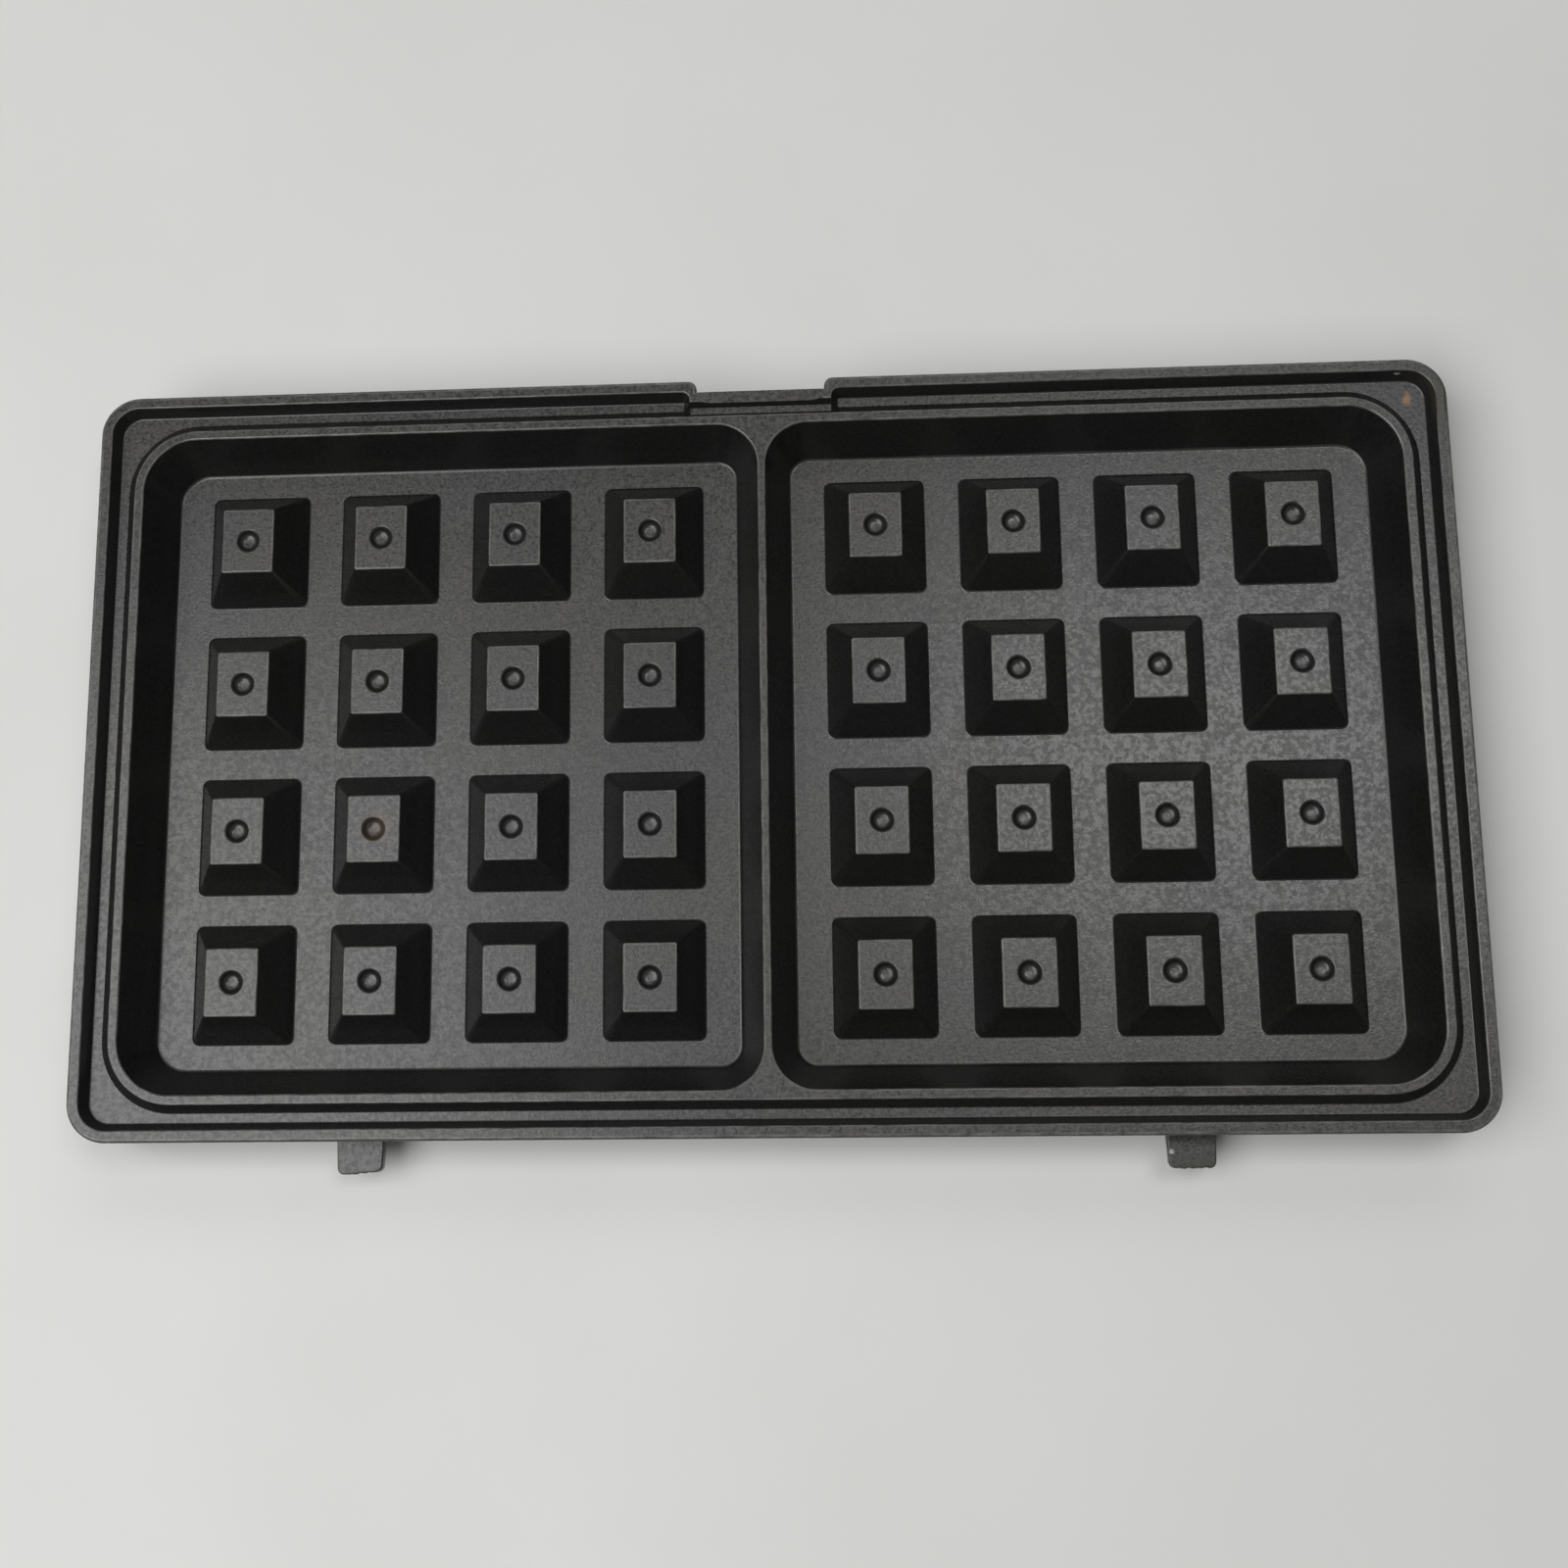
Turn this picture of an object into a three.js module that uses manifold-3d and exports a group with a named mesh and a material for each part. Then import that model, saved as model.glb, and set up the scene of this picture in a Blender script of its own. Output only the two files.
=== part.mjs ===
// A removable waffle plate of a two-place snack maker, cast in aluminium in one piece.
// Two moulds stand side by side, each with sixteen tapered pegs. A thin rib runs round both
// of them, a gutter outside it catches what overflows, and a raised rim closes the edge.
// Millimetres, +Z up. Heights are measured from the floor of the moulds, and the finished
// plate stands on its underside at zero, with its footprint centred on the origin.

import * as THREE from "three";
import { mergeVertices, toCreasedNormals } from "three/addons/utils/BufferGeometryUtils.js";
import Module from "manifold-3d";

const wasm = await Module();
wasm.setup();

// Outline of the plate at its rim, without the two lugs
const plateLength = 229.4;
const plateWidth = 127.4;
const plateCornerRadius = 6.6;

// Heights above the floor of the moulds
const rimHeight = 9.6;
const ribHeight = 8.7;
const pegHeight = 7.85;
const gutterHeight = 7;

// Section of the edge from the rim inwards: its flats, and the runs of its drafted walls
const rimWidth = 1.95;
const rimWallRun = 1.05;
const gutterWidth = 1.65;
const ribWallRun = 1.5;
const ribWidth = 1.4;
const mouldWallRun = 3.95;

// Plan corners of the moulds at the rib's top, and the rib between the two moulds
const mouldOuterRadius = 9.2;
const mouldInnerRadius = 7.4;
const dividerWidth = 1.15;

// Rounded edges
const rimOuterRound = 0.6;
const rimInnerRound = 0.3;
const ribRound = 0.35;
const skirtRound = 0.4;

// Pegs of each mould, and the channels that the batter fills between them
const pegColumns = 4;
const pegRows = 4;
const channelWidth = 6.08;
const crossChannelWidth = 5.35;
const endCrossChannelWidth = 4.45;
const pegRunAlong = 4.18;
const pegRunAcross = 4.4;
const pegBaseCornerRadius = 1.05;
const pegTopCornerRadius = 0.35;

// Round dimple in the top of each peg
const dimpleDiameter = 3.9;
const dimpleDepth = 1.2;

// Catch in the middle of the far side: the rim steps in and down to a ledge
const catchWidth = 21.8;
const catchInset = 1.9;
const catchCornerRadius = 1.4;
const ledgeLength = 17.2;
const ledgeDrop = 0.5;
const ledgeRun = 2.2;

// Raised pad across the gutter beside the catch
const padWidth = 24.1;
const padInset = 1.8;
const padCornerRadius = 0.3;
const padRise = 1;
const padRun = 0.9;

// Two lugs low on the near side
const lugSpacing = 135;
const lugRootWidth = 7.9;
const lugTipWidth = 7.4;
const lugReach = 5.4;
const lugRise = 1.4;
const lugThickness = 2;
const lugCornerRadius = 1;
const lugRound = 0.3;

// Walls of the casting, seen from below
const floorThickness = 2.6;
const wallThickness = 2.6;
const gutterThickness = 2.6;
const skirtThickness = 2.5;
const skirtDrop = 0.9;
const skirtDraftRun = 0.25;
const pegRoofThickness = 1.6;
const slotTopWidth = 1.1;
const slotDraftRun = 0.8;
const slotCornerRadius = 0.5;

// Raised ring below the floor, grooved to sit on a tubular heating element
const heaterLoopLength = 170;
const heaterRingWidth = 12;
const heaterRingDrop = 3;
const heaterRingDraftRun = 0.6;
const heaterGrooveRadius = 3.4;

// How far a joined or cutting solid runs past the face that it meets
const overrun = 1;

// Facets of the arcs
const cornerSteps = 8;
const smallCornerSteps = 2;
const edgeSteps = 2;
const loopSteps = 20;
const grooveSteps = 6;
const dimpleSides = 12;
const dimpleRings = 9;

// Insets of the section's lines from the outer face, and the moulds' plan
const gutterInset = rimWidth + rimWallRun;
const ribFootInset = gutterInset + gutterWidth;
const ribInset = ribFootInset + ribWallRun;
const mouldInset = ribInset + ribWidth;
const mouldSlope = mouldWallRun / ribHeight;
const mouldHighX = plateLength / 2 - mouldInset;
const mouldLowX = dividerWidth / 2;
const mouldHalfWidth = plateWidth / 2 - mouldInset;
const mouldCentreX = (mouldHighX + mouldLowX) / 2;
const floorLength = mouldHighX - mouldLowX - 2 * mouldWallRun;
const floorWidth = 2 * (mouldHalfWidth - mouldWallRun);

// Pegs, which share out what the channels leave of the floor
const pegLength = (floorLength - (pegColumns + 1) * channelWidth) / pegColumns;
const crossChannels = 2 * endCrossChannelWidth + (pegRows - 1) * crossChannelWidth;
const pegWidth = (floorWidth - crossChannels) / pegRows;
const pegPitchAlong = pegLength + channelWidth;
const pegPitchAcross = pegWidth + crossChannelWidth;

// Levels of the underside
const skirtBottom = -skirtDrop;
const gutterUnderside = gutterHeight - gutterThickness;
const floorUnderside = -floorThickness;
const ringBottom = floorUnderside - heaterRingDrop;
const coreTop = pegHeight - dimpleDepth - pegRoofThickness;

// Level distance between the two faces of a wall that leans by run over height
function levelThickness(thickness, run, height) {
  return (thickness * Math.hypot(run, height)) / height;
}

// Points of an arc about a centre, turning anticlockwise
function arc(centreX, centreY, radius, startAngle, turn, steps) {
  const points = [];
  for (let step = 0; step <= steps; step += 1) {
    const angle = startAngle + (turn * step) / steps;
    points.push([centreX + radius * Math.cos(angle), centreY + radius * Math.sin(angle)]);
  }
  return points;
}

function quarterArc(centreX, centreY, radius, startAngle, steps) {
  return arc(centreX, centreY, radius, startAngle, Math.PI / 2, steps);
}

// Rectangle with one corner radius at its high x and one at its low x, anticlockwise
function roundedOutline(lowX, highX, halfWidth, highRadius, lowRadius, steps) {
  const highY = halfWidth - highRadius;
  const lowY = halfWidth - lowRadius;
  return [
    ...quarterArc(highX - highRadius, highY, highRadius, 0, steps),
    ...quarterArc(lowX + lowRadius, lowY, lowRadius, Math.PI / 2, steps),
    ...quarterArc(lowX + lowRadius, -lowY, lowRadius, Math.PI, steps),
    ...quarterArc(highX - highRadius, -highY, highRadius, -Math.PI / 2, steps),
  ];
}

// Rectangle about the origin with one corner radius
function boxOutline(length, width, radius, steps) {
  return roundedOutline(-length / 2, length / 2, width / 2, radius, radius, steps);
}

// The plate's outline moved inwards, with a step in the middle of its far side
function steppedOutline(inset, stepWidth, stepInset, stepRadius) {
  const x = plateLength / 2 - inset;
  const y = plateWidth / 2 - inset;
  const radius = plateCornerRadius - inset;
  const stepX = stepWidth / 2;
  const right = [
    ...quarterArc(stepX + stepRadius, y - stepRadius, stepRadius, Math.PI / 2, smallCornerSteps),
    [stepX, y - stepInset],
  ];
  const left = right.map(([pointX, pointY]) => [-pointX, pointY]).reverse();
  return [
    ...quarterArc(x - radius, y - radius, radius, 0, cornerSteps),
    ...right,
    ...left,
    ...quarterArc(radius - x, y - radius, radius, Math.PI / 2, cornerSteps),
    ...quarterArc(radius - x, radius - y, radius, Math.PI, cornerSteps),
    ...quarterArc(x - radius, radius - y, radius, -Math.PI / 2, cornerSteps),
  ];
}

// Outline of the rim's outer face and of the skirt, stepped in at the catch
function outerOutline(inset) {
  const radius = Math.max(catchCornerRadius - inset, catchCornerRadius / 4);
  return steppedOutline(inset, catchWidth + 2 * inset, catchInset, radius);
}

// Outline of the rim's inner face, stepped in beside the pad
function gutterOutline(inset) {
  const climb = gutterInset - inset;
  const width = padWidth + 2 * (rimWallRun - climb);
  return steppedOutline(inset, width, padInset, padCornerRadius + climb);
}

// Outline round both moulds, with its corners concentric with theirs
function ribOutline(inset) {
  const radius = mouldOuterRadius + mouldInset - inset;
  return boxOutline(plateLength - 2 * inset, plateWidth - 2 * inset, radius, cornerSteps);
}

// Outline of one mould, side 1 at high x or -1 at low x, moved inwards from the rib's top
function mouldOutline(side, inset) {
  const outline = roundedOutline(
    mouldLowX + inset,
    mouldHighX - inset,
    mouldHalfWidth - inset,
    mouldOuterRadius - inset,
    mouldInnerRadius - inset,
    cornerSteps,
  );
  return side > 0 ? outline : outline.map(([x, y]) => [-x, y]).reverse();
}

// Loop of the heating element, two straight legs and two half turns, moved inwards
function heaterOutline(inset) {
  const radius = pegPitchAcross - inset;
  const centreX = heaterLoopLength / 2 - pegPitchAcross;
  return [
    ...arc(centreX, 0, radius, -Math.PI / 2, Math.PI, loopSteps),
    ...arc(-centreX, 0, radius, Math.PI / 2, Math.PI, loopSteps),
  ];
}

// Outline lifted to a height
function ring(outline, z) {
  return outline.map(([x, y]) => new THREE.Vector3(x, y, z));
}

// Two triangles for each pair of neighbours in two rings
function band(count, low, high) {
  const indices = [];
  for (let i = 0; i < count; i += 1) {
    const next = (i + 1) % count;
    indices.push(low + i, low + next, high + next, low + i, high + next, high + i);
  }
  return indices;
}

// Solid between a stack of rings with as many points each, from the bottom up
function loft(rings) {
  const count = rings[0].length;
  const last = (rings.length - 1) * count;
  const indices = [];
  for (let low = 0; low < last; low += count) {
    indices.push(...band(count, low, low + count));
  }
  for (const [a, b, c] of THREE.ShapeUtils.triangulateShape(rings[0], [])) {
    indices.push(a, c, b);
  }
  for (const [a, b, c] of THREE.ShapeUtils.triangulateShape(rings[rings.length - 1], [])) {
    indices.push(last + a, last + b, last + c);
  }
  return solidOf(new THREE.BufferGeometry().setFromPoints(rings.flat()).setIndex(indices));
}

// Ring-shaped solid whose section runs up its outer side and down its inner side
function sweep(rings) {
  const count = rings[0].length;
  const total = rings.length * count;
  const indices = [];
  for (let low = 0; low < total; low += count) {
    indices.push(...band(count, low, (low + count) % total));
  }
  return solidOf(new THREE.BufferGeometry().setFromPoints(rings.flat()).setIndex(indices));
}

// Closed three.js geometry as a solid that can be joined and cut
function solidOf(geometry) {
  const bare = geometry.clone();
  bare.deleteAttribute("normal");
  bare.deleteAttribute("uv");
  const merged = mergeVertices(bare);
  const mesh = new wasm.Mesh({
    numProp: 3,
    vertProperties: merged.getAttribute("position").array,
    triVerts: new Uint32Array(merged.index.array),
  });
  return new wasm.Manifold(mesh);
}

// Solid as a three.js geometry
function geometryOf(solid) {
  const { vertProperties, triVerts } = solid.getMesh();
  const geometry = new THREE.BufferGeometry();
  geometry.setAttribute("position", new THREE.BufferAttribute(vertProperties, 3));
  geometry.setIndex(new THREE.BufferAttribute(triVerts, 1));
  return geometry;
}

// Quarter-round edge from the wall to the flat: how far each point is across and below
function roundedEdge(radius) {
  return quarterArc(radius, radius, radius, Math.PI, edgeSteps).map(([across, below]) => ({
    across,
    below,
  }));
}

// Block inside the outer face, rounded at the skirt's foot and at the rim
function outerBlock() {
  const foot = roundedEdge(skirtRound).reverse();
  const edge = roundedEdge(rimOuterRound);
  return loft([
    ...foot.map(({ across, below }) => ring(outerOutline(across), skirtBottom + below)),
    ...edge.map(({ across, below }) => ring(outerOutline(across), rimHeight - below)),
  ]);
}

// Space under the gutter and the moulds, inside the skirt
function skirtHollow() {
  return loft([
    ring(outerOutline(skirtThickness), skirtBottom - overrun),
    ring(outerOutline(skirtThickness + skirtDraftRun), gutterUnderside),
  ]);
}

// Everything above the gutter's floor, out to the drafted inner wall of the rim
function gutterHollow() {
  const slope = rimWallRun / (rimHeight - gutterHeight);
  return loft([
    ring(gutterOutline(gutterInset), gutterHeight),
    ...roundedEdge(rimInnerRound).map(({ across, below }) =>
      ring(gutterOutline(rimWidth + slope * below - across), rimHeight - below),
    ),
    ring(gutterOutline(rimWidth - rimInnerRound), rimHeight + overrun),
  ]);
}

// Rib with its drafted outer wall, still filled inside
function ribBlock() {
  const slope = ribWallRun / (ribHeight - gutterHeight);
  return loft([
    ring(ribOutline(ribFootInset - slope * overrun), gutterHeight - overrun),
    ...roundedEdge(ribRound).map(({ across, below }) =>
      ring(ribOutline(ribInset - slope * below + across), ribHeight - below),
    ),
  ]);
}

// Hollow of one mould, with the rib's edge rounded
function mouldHollow(side) {
  return loft([
    ring(mouldOutline(side, mouldWallRun), 0),
    ...roundedEdge(ribRound).map(({ across, below }) =>
      ring(mouldOutline(side, mouldSlope * below - across), ribHeight - below),
    ),
    ring(mouldOutline(side, -ribRound), ribHeight + overrun),
  ]);
}

// Tray below the gutter, whose walls keep their thickness round the moulds
function trayHull() {
  const wall = levelThickness(wallThickness, mouldWallRun, ribHeight);
  const insetAt = (z) => mouldInset + mouldSlope * (ribHeight - z) - wall;
  const top = gutterUnderside + overrun;
  const edge = roundedEdge(skirtRound).reverse();
  return loft([
    ...edge.map(({ across, below }) => {
      const z = floorUnderside + below;
      return ring(ribOutline(insetAt(z) + across), z);
    }),
    ring(ribOutline(insetAt(top)), top),
  ]);
}

// Outline of a peg at a height, thinned to its core where a wall is given
function pegOutline(z, wallAlong, wallAcross, steps) {
  const share = z / pegHeight;
  const radius = pegBaseCornerRadius + (pegTopCornerRadius - pegBaseCornerRadius) * share;
  const length = pegLength - 2 * (pegRunAlong * share + wallAlong);
  const width = pegWidth - 2 * (pegRunAcross * share + wallAcross);
  return boxOutline(length, width, Math.min(radius, length / 3, width / 3), steps);
}

// Ball that cuts a dimple of the given width and depth
function dimpleBall() {
  const rise = (dimpleDiameter / 2) ** 2 / dimpleDepth;
  const radius = (rise + dimpleDepth) / 2;
  const ball = new THREE.SphereGeometry(radius, dimpleSides, dimpleRings);
  ball.rotateX(Math.PI / 2);
  ball.translate(0, 0, pegHeight - dimpleDepth + radius);
  return solidOf(ball);
}

// One tapered peg about the origin, rooted in the floor, with its dimple
function pegBlank() {
  return loft([
    ring(pegOutline(-overrun, 0, 0, smallCornerSteps), -overrun),
    ring(pegOutline(pegHeight, 0, 0, smallCornerSteps), pegHeight),
  ]).subtract(dimpleBall());
}

// Core that hollows one peg from below
function pegCore() {
  const wallAlong = levelThickness(wallThickness, pegRunAlong, pegHeight);
  const wallAcross = levelThickness(wallThickness, pegRunAcross, pegHeight);
  const mouth = floorUnderside - overrun;
  return loft([
    ring(pegOutline(mouth, wallAlong, wallAcross, 1), mouth),
    ring(pegOutline(coreTop, wallAlong, wallAcross, 1), coreTop),
  ]);
}

// Copies of a solid at every peg of both moulds, joined into one
function atEveryPeg(solid) {
  const geometry = geometryOf(solid);
  let all = new wasm.Manifold(new wasm.Mesh({ numProp: 3, vertProperties: [], triVerts: [] }));
  for (const side of [-1, 1]) {
    for (let column = 0; column < pegColumns; column += 1) {
      for (let row = 0; row < pegRows; row += 1) {
        const x = side * mouldCentreX + (column - (pegColumns - 1) / 2) * pegPitchAlong;
        const y = (row - (pegRows - 1) / 2) * pegPitchAcross;
        all = all.add(solidOf(geometry.clone().translate(x, y, 0)));
      }
    }
  }
  return all;
}

// Slot under the divider, which keeps the wall between the two moulds thin
function dividerSlot() {
  const wall = levelThickness(wallThickness, mouldWallRun, ribHeight);
  const halfAt = (z) => mouldLowX + mouldSlope * (ribHeight - z) - wall;
  const mouth = floorUnderside - overrun;
  const top = ribHeight - (slotTopWidth / 2 + wall - mouldLowX) / mouldSlope;
  const length = floorWidth - 2 * slotDraftRun;
  return loft([
    ring(boxOutline(2 * halfAt(mouth), length, slotCornerRadius, 1), mouth),
    ring(boxOutline(slotTopWidth, length - 2 * slotDraftRun, slotCornerRadius / 2, 1), top),
  ]);
}

// Section of the heater's ring between two levels, as wide as it is at its root
function heaterColumn() {
  const half = heaterRingWidth / 2 + heaterRingDraftRun;
  const low = floorUnderside - overrun;
  const high = coreTop + overrun;
  return sweep([
    ring(heaterOutline(-half), low),
    ring(heaterOutline(-half), high),
    ring(heaterOutline(half), high),
    ring(heaterOutline(half), low),
  ]);
}

// Drafted ring that stands below the floor and carries the plate
function heaterRing() {
  const foot = heaterRingWidth / 2;
  const root = foot + heaterRingDraftRun;
  const high = floorUnderside + floorThickness / 2;
  return sweep([
    ring(heaterOutline(-foot), ringBottom),
    ring(heaterOutline(-root), floorUnderside),
    ring(heaterOutline(-root), high),
    ring(heaterOutline(root), high),
    ring(heaterOutline(root), floorUnderside),
    ring(heaterOutline(foot), ringBottom),
  ]);
}

// Half-round groove along the ring, for the heating element
function heaterGroove() {
  const section = arc(0, ringBottom, heaterGrooveRadius, 0, Math.PI, grooveSteps);
  const mouth = ringBottom - overrun;
  return sweep([
    ring(heaterOutline(-heaterGrooveRadius), mouth),
    ...section.map(([outset, z]) => ring(heaterOutline(-outset), z)),
    ring(heaterOutline(heaterGrooveRadius), mouth),
  ]);
}

// Block across part of the far side, longer at one level than at the other
function farSideBlock(lowLength, highLength, nearInset, farInset, lowZ, highZ) {
  const nearY = plateWidth / 2 - nearInset;
  const farY = plateWidth / 2 - farInset;
  const corners = (length) => [
    [length / 2, nearY],
    [length / 2, farY],
    [-length / 2, farY],
    [-length / 2, nearY],
  ];
  return loft([ring(corners(lowLength), lowZ), ring(corners(highLength), highZ)]);
}

// What the catch takes off the top of the rim
function ledgeHollow() {
  const slope = ledgeRun / ledgeDrop;
  const low = rimHeight - ledgeDrop;
  const high = rimHeight + overrun;
  const highLength = ledgeLength + 2 * slope * (high - low);
  return farSideBlock(ledgeLength, highLength, ribFootInset, -overrun, low, high);
}

// Pad that lifts the gutter's floor beside the catch, rooted in the rim's inner wall
function gutterPad() {
  const slope = padRun / padRise;
  const lowLength = padWidth + 2 * slope * (padRise + overrun);
  const low = gutterHeight - overrun;
  const far = rimWidth + rimWallRun / 2;
  return farSideBlock(lowLength, padWidth, ribInset, far, low, gutterHeight + padRise);
}

// One lug about its middle, with the face of the skirt at y zero, narrower at its tip
function lug() {
  const rootHalf = lugRootWidth / 2;
  const tipHalf = lugTipWidth / 2;
  const cornerY = lugCornerRadius - lugReach;
  const rootY = skirtThickness / 2;
  const shape = new THREE.Shape();
  shape.moveTo(-rootHalf, rootY);
  shape.lineTo(-rootHalf, 0);
  shape.lineTo(-tipHalf, cornerY);
  shape.absarc(lugCornerRadius - tipHalf, cornerY, lugCornerRadius, Math.PI, 1.5 * Math.PI, false);
  shape.absarc(tipHalf - lugCornerRadius, cornerY, lugCornerRadius, 1.5 * Math.PI, 0, false);
  shape.lineTo(rootHalf, 0);
  shape.lineTo(rootHalf, rootY);
  shape.closePath();
  const geometry = new THREE.ExtrudeGeometry(shape, {
    depth: lugThickness - 2 * lugRound,
    curveSegments: smallCornerSteps,
    bevelThickness: lugRound,
    bevelSize: lugRound,
    bevelOffset: -lugRound,
    bevelSegments: edgeSteps,
  });
  return geometry.translate(0, -plateWidth / 2, skirtBottom + lugRise + lugRound);
}

// The whole casting
function wafflePlate() {
  let plate = outerBlock()
    .subtract(skirtHollow())
    .add(trayHull())
    .subtract(gutterHollow())
    .add(ribBlock())
    .add(gutterPad())
    .subtract(ledgeHollow());
  for (const side of [-1, 1]) {
    plate = plate.subtract(mouldHollow(side));
    plate = plate.add(solidOf(lug().translate((side * lugSpacing) / 2, 0, 0)));
  }
  const cores = atEveryPeg(pegCore()).add(dividerSlot()).subtract(heaterColumn());
  plate = plate.add(atEveryPeg(pegBlank())).add(heaterRing());
  return plate.subtract(cores).subtract(heaterGroove());
}

const creaseAngle = Math.PI / 7;
const coatedAluminium = new THREE.MeshStandardMaterial({
  name: "coated_aluminium",
  color: 0x4a4a4b,
  roughness: 0.55,
  metalness: 0.35,
});

const plateMesh = new THREE.Mesh(
  toCreasedNormals(geometryOf(wafflePlate()), creaseAngle),
  coatedAluminium,
);
plateMesh.name = "waffle_plate";
plateMesh.position.set(0, lugReach / 2, -ringBottom);

const snackMakerPlate = new THREE.Group();
snackMakerPlate.name = "snack_maker_waffle_plate";
snackMakerPlate.add(plateMesh);

export default snackMakerPlate;
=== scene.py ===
# A removable waffle plate of a two-place snack maker: one aluminium casting with a dark non-stick coating.
import math

import bmesh
import bpy
from bpy.props import FloatProperty, FloatVectorProperty, IntProperty, PointerProperty
from bpy.types import Operator, Panel, PropertyGroup
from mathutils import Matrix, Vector


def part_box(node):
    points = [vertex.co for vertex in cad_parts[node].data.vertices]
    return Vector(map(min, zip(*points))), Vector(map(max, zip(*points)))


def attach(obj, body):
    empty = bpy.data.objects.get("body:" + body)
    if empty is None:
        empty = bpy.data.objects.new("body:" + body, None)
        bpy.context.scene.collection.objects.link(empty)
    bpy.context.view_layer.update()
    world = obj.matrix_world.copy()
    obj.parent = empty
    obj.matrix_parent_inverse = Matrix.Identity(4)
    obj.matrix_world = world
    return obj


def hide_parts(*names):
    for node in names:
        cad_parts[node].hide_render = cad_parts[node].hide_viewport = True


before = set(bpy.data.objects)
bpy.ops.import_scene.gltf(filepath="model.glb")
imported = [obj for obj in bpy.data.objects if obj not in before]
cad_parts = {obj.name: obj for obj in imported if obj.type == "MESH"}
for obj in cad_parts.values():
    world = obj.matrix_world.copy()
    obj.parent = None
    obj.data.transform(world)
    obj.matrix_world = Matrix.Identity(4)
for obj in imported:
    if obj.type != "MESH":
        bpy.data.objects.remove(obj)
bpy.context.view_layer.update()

bl_info = {
    "name": "Waffle plate",
    "version": (1, 0, 0),
    "blender": (4, 5, 0),
    "location": "3D View > Sidebar > Waffle plate",
    "description": "Builds the cast waffle plate of a snack maker and the table that it lies on",
    "category": "Object",
}

NODE = "waffle_plate"
LOW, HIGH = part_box(NODE)
MM = 0.001
TINY = MM / 1000
X, Y, Z = range(3)

# any length, where a line only gives a direction
STUB = MM

# edges are shaded smooth up to the first angle, and a face leans less than the second where it counts as
# flat, and less than the third where it counts as level
SMOOTH_ANGLE, FLAT_TILT, LEVEL_TILT = (math.radians(angle) for angle in (32, 20, 4))
STRAIGHT_ANGLE = math.radians(1)

# attributes of the faces that the coating reads: slopes, and rubbed edges that carry a painted highlight
STEEP, RUBBED_HIGHLIGHT = "steep", "rubbed"

# speckles: their noise, and the softness of each kind's edges
NOISE_MIDDLE, SPECKLE_DETAIL = 0.5, 3
FLECK_SOFTNESS = 0.08
TAN_SIZE, TAN_SOFTNESS = 40 * MM, 0.1
CLOUD_SIZE, CLOUD_SOFTNESS = 60 * MM, 0.2

# patches of gloss: how much larger they are than the flecks, and how much of their change slopes keep
PATCH_SIZE, SLOPE_CHANGE = 1.7, 0.5

# rubbed edges, painted lighter for worn coating and as a painted highlight on the rounds: size of their
# noise, the range of it that counts, and the least that they are rubbed
RUB_SIZE, RUB_RANGE, RUB_LEAST = 3 * MM, (0.35, 0.65), 0.3

# ragged edges of the marks: how far they reach, and the range of their noise that counts
RAGGED, RAGGED_RANGE = 0.3, (0.3, 0.7)

# the table's roughness between its clouds and in them, and the size and height of its grain
TABLE_ROUGHNESS, TABLE_GRAIN = (0.55, 0.65), (0.8 * MM, 0.01 * MM)

# distance from which the camera sees
CLIP_START = 10 * MM

# how far the points of each lug's tip are set back, from left to right
LUG_BREAK_SHARES = {
    -1: (0, 0, 0.1, 0, 0.7, 0.4, 0.9, 0.8, 1),
    1: (0.4, 0.5, 0.1, 0.6, 0.2, 0.5, 0.3, 0.7, 0.3),
}

# marks of use: colour, middle and half size in millimetres, softness of the edge. A later one covers an
# earlier one
MARKS = (
    ("scorch", (108.6, 60.2, 12.6), (0.75, 1.1, 1), 0.35),
    ("pit", (108.1, 60.8, 12.6), (0.4, 0.35, 1), 0.3),
    ("bare", (106.9, 63.7, 14.4), (0.6, 0.5, 0.25), 0.3),
    ("stain", (-88.2, 37.7, 13.45), (1.4, 2.6, 0.5), 0.5),
    ("pit", (-91.0, 38.0, 13.45), (0.3, 0.25, 0.5), 0.4),
    ("tan", (-64.9, -9.9, 13.2), (2.7, 2.7, 1.5), 0.4),
    ("pit", (-63.1, -12.7, 13.45), (0.25, 0.35, 0.5), 0.4),
    ("stain", (112.9, 59.5, 15.2), (3.6, 4.6, 1), 0.5),
    ("stain", (68, -66, 8.1), (4.4, 1.7, 1.6), 0.5),
    ("bare", (64.2, -63.6, 7.9), (0.4, 0.35, 0.4), 0.4),
)


def length(name, description, millimetres):
    """Property that holds a length, given here in millimetres."""
    return FloatProperty(name=name, description=description, default=millimetres * MM, unit="LENGTH")


def share(name, description, default):
    """Property that holds a share from 0 to 1."""
    limits = {"min": 0, "max": 1}
    return FloatProperty(name=name, description=description, default=default, subtype="FACTOR", **limits)


def colour(name, description, default):
    """Property that holds a linear colour."""
    return FloatVectorProperty(
        name=name, description=description, default=default, size=3, min=0, max=1, subtype="COLOR"
    )


def place(name, description, metres, size=3):
    """Property that holds a place, or the sides of a flat thing, in metres."""
    return FloatVectorProperty(
        name=name, description=description, default=metres, size=size, unit="LENGTH", precision=4
    )


def power(name, description, watts):
    """Property that holds a lamp's power."""
    return FloatProperty(name=name, description=description, default=watts, min=0, unit="POWER")


def number(name, description, default):
    """Property that holds a plain number."""
    return FloatProperty(name=name, description=description, default=default)


def count(name, description, default, least):
    """Property that holds a number of parts."""
    return IntProperty(name=name, description=description, default=default, min=least)


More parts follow.
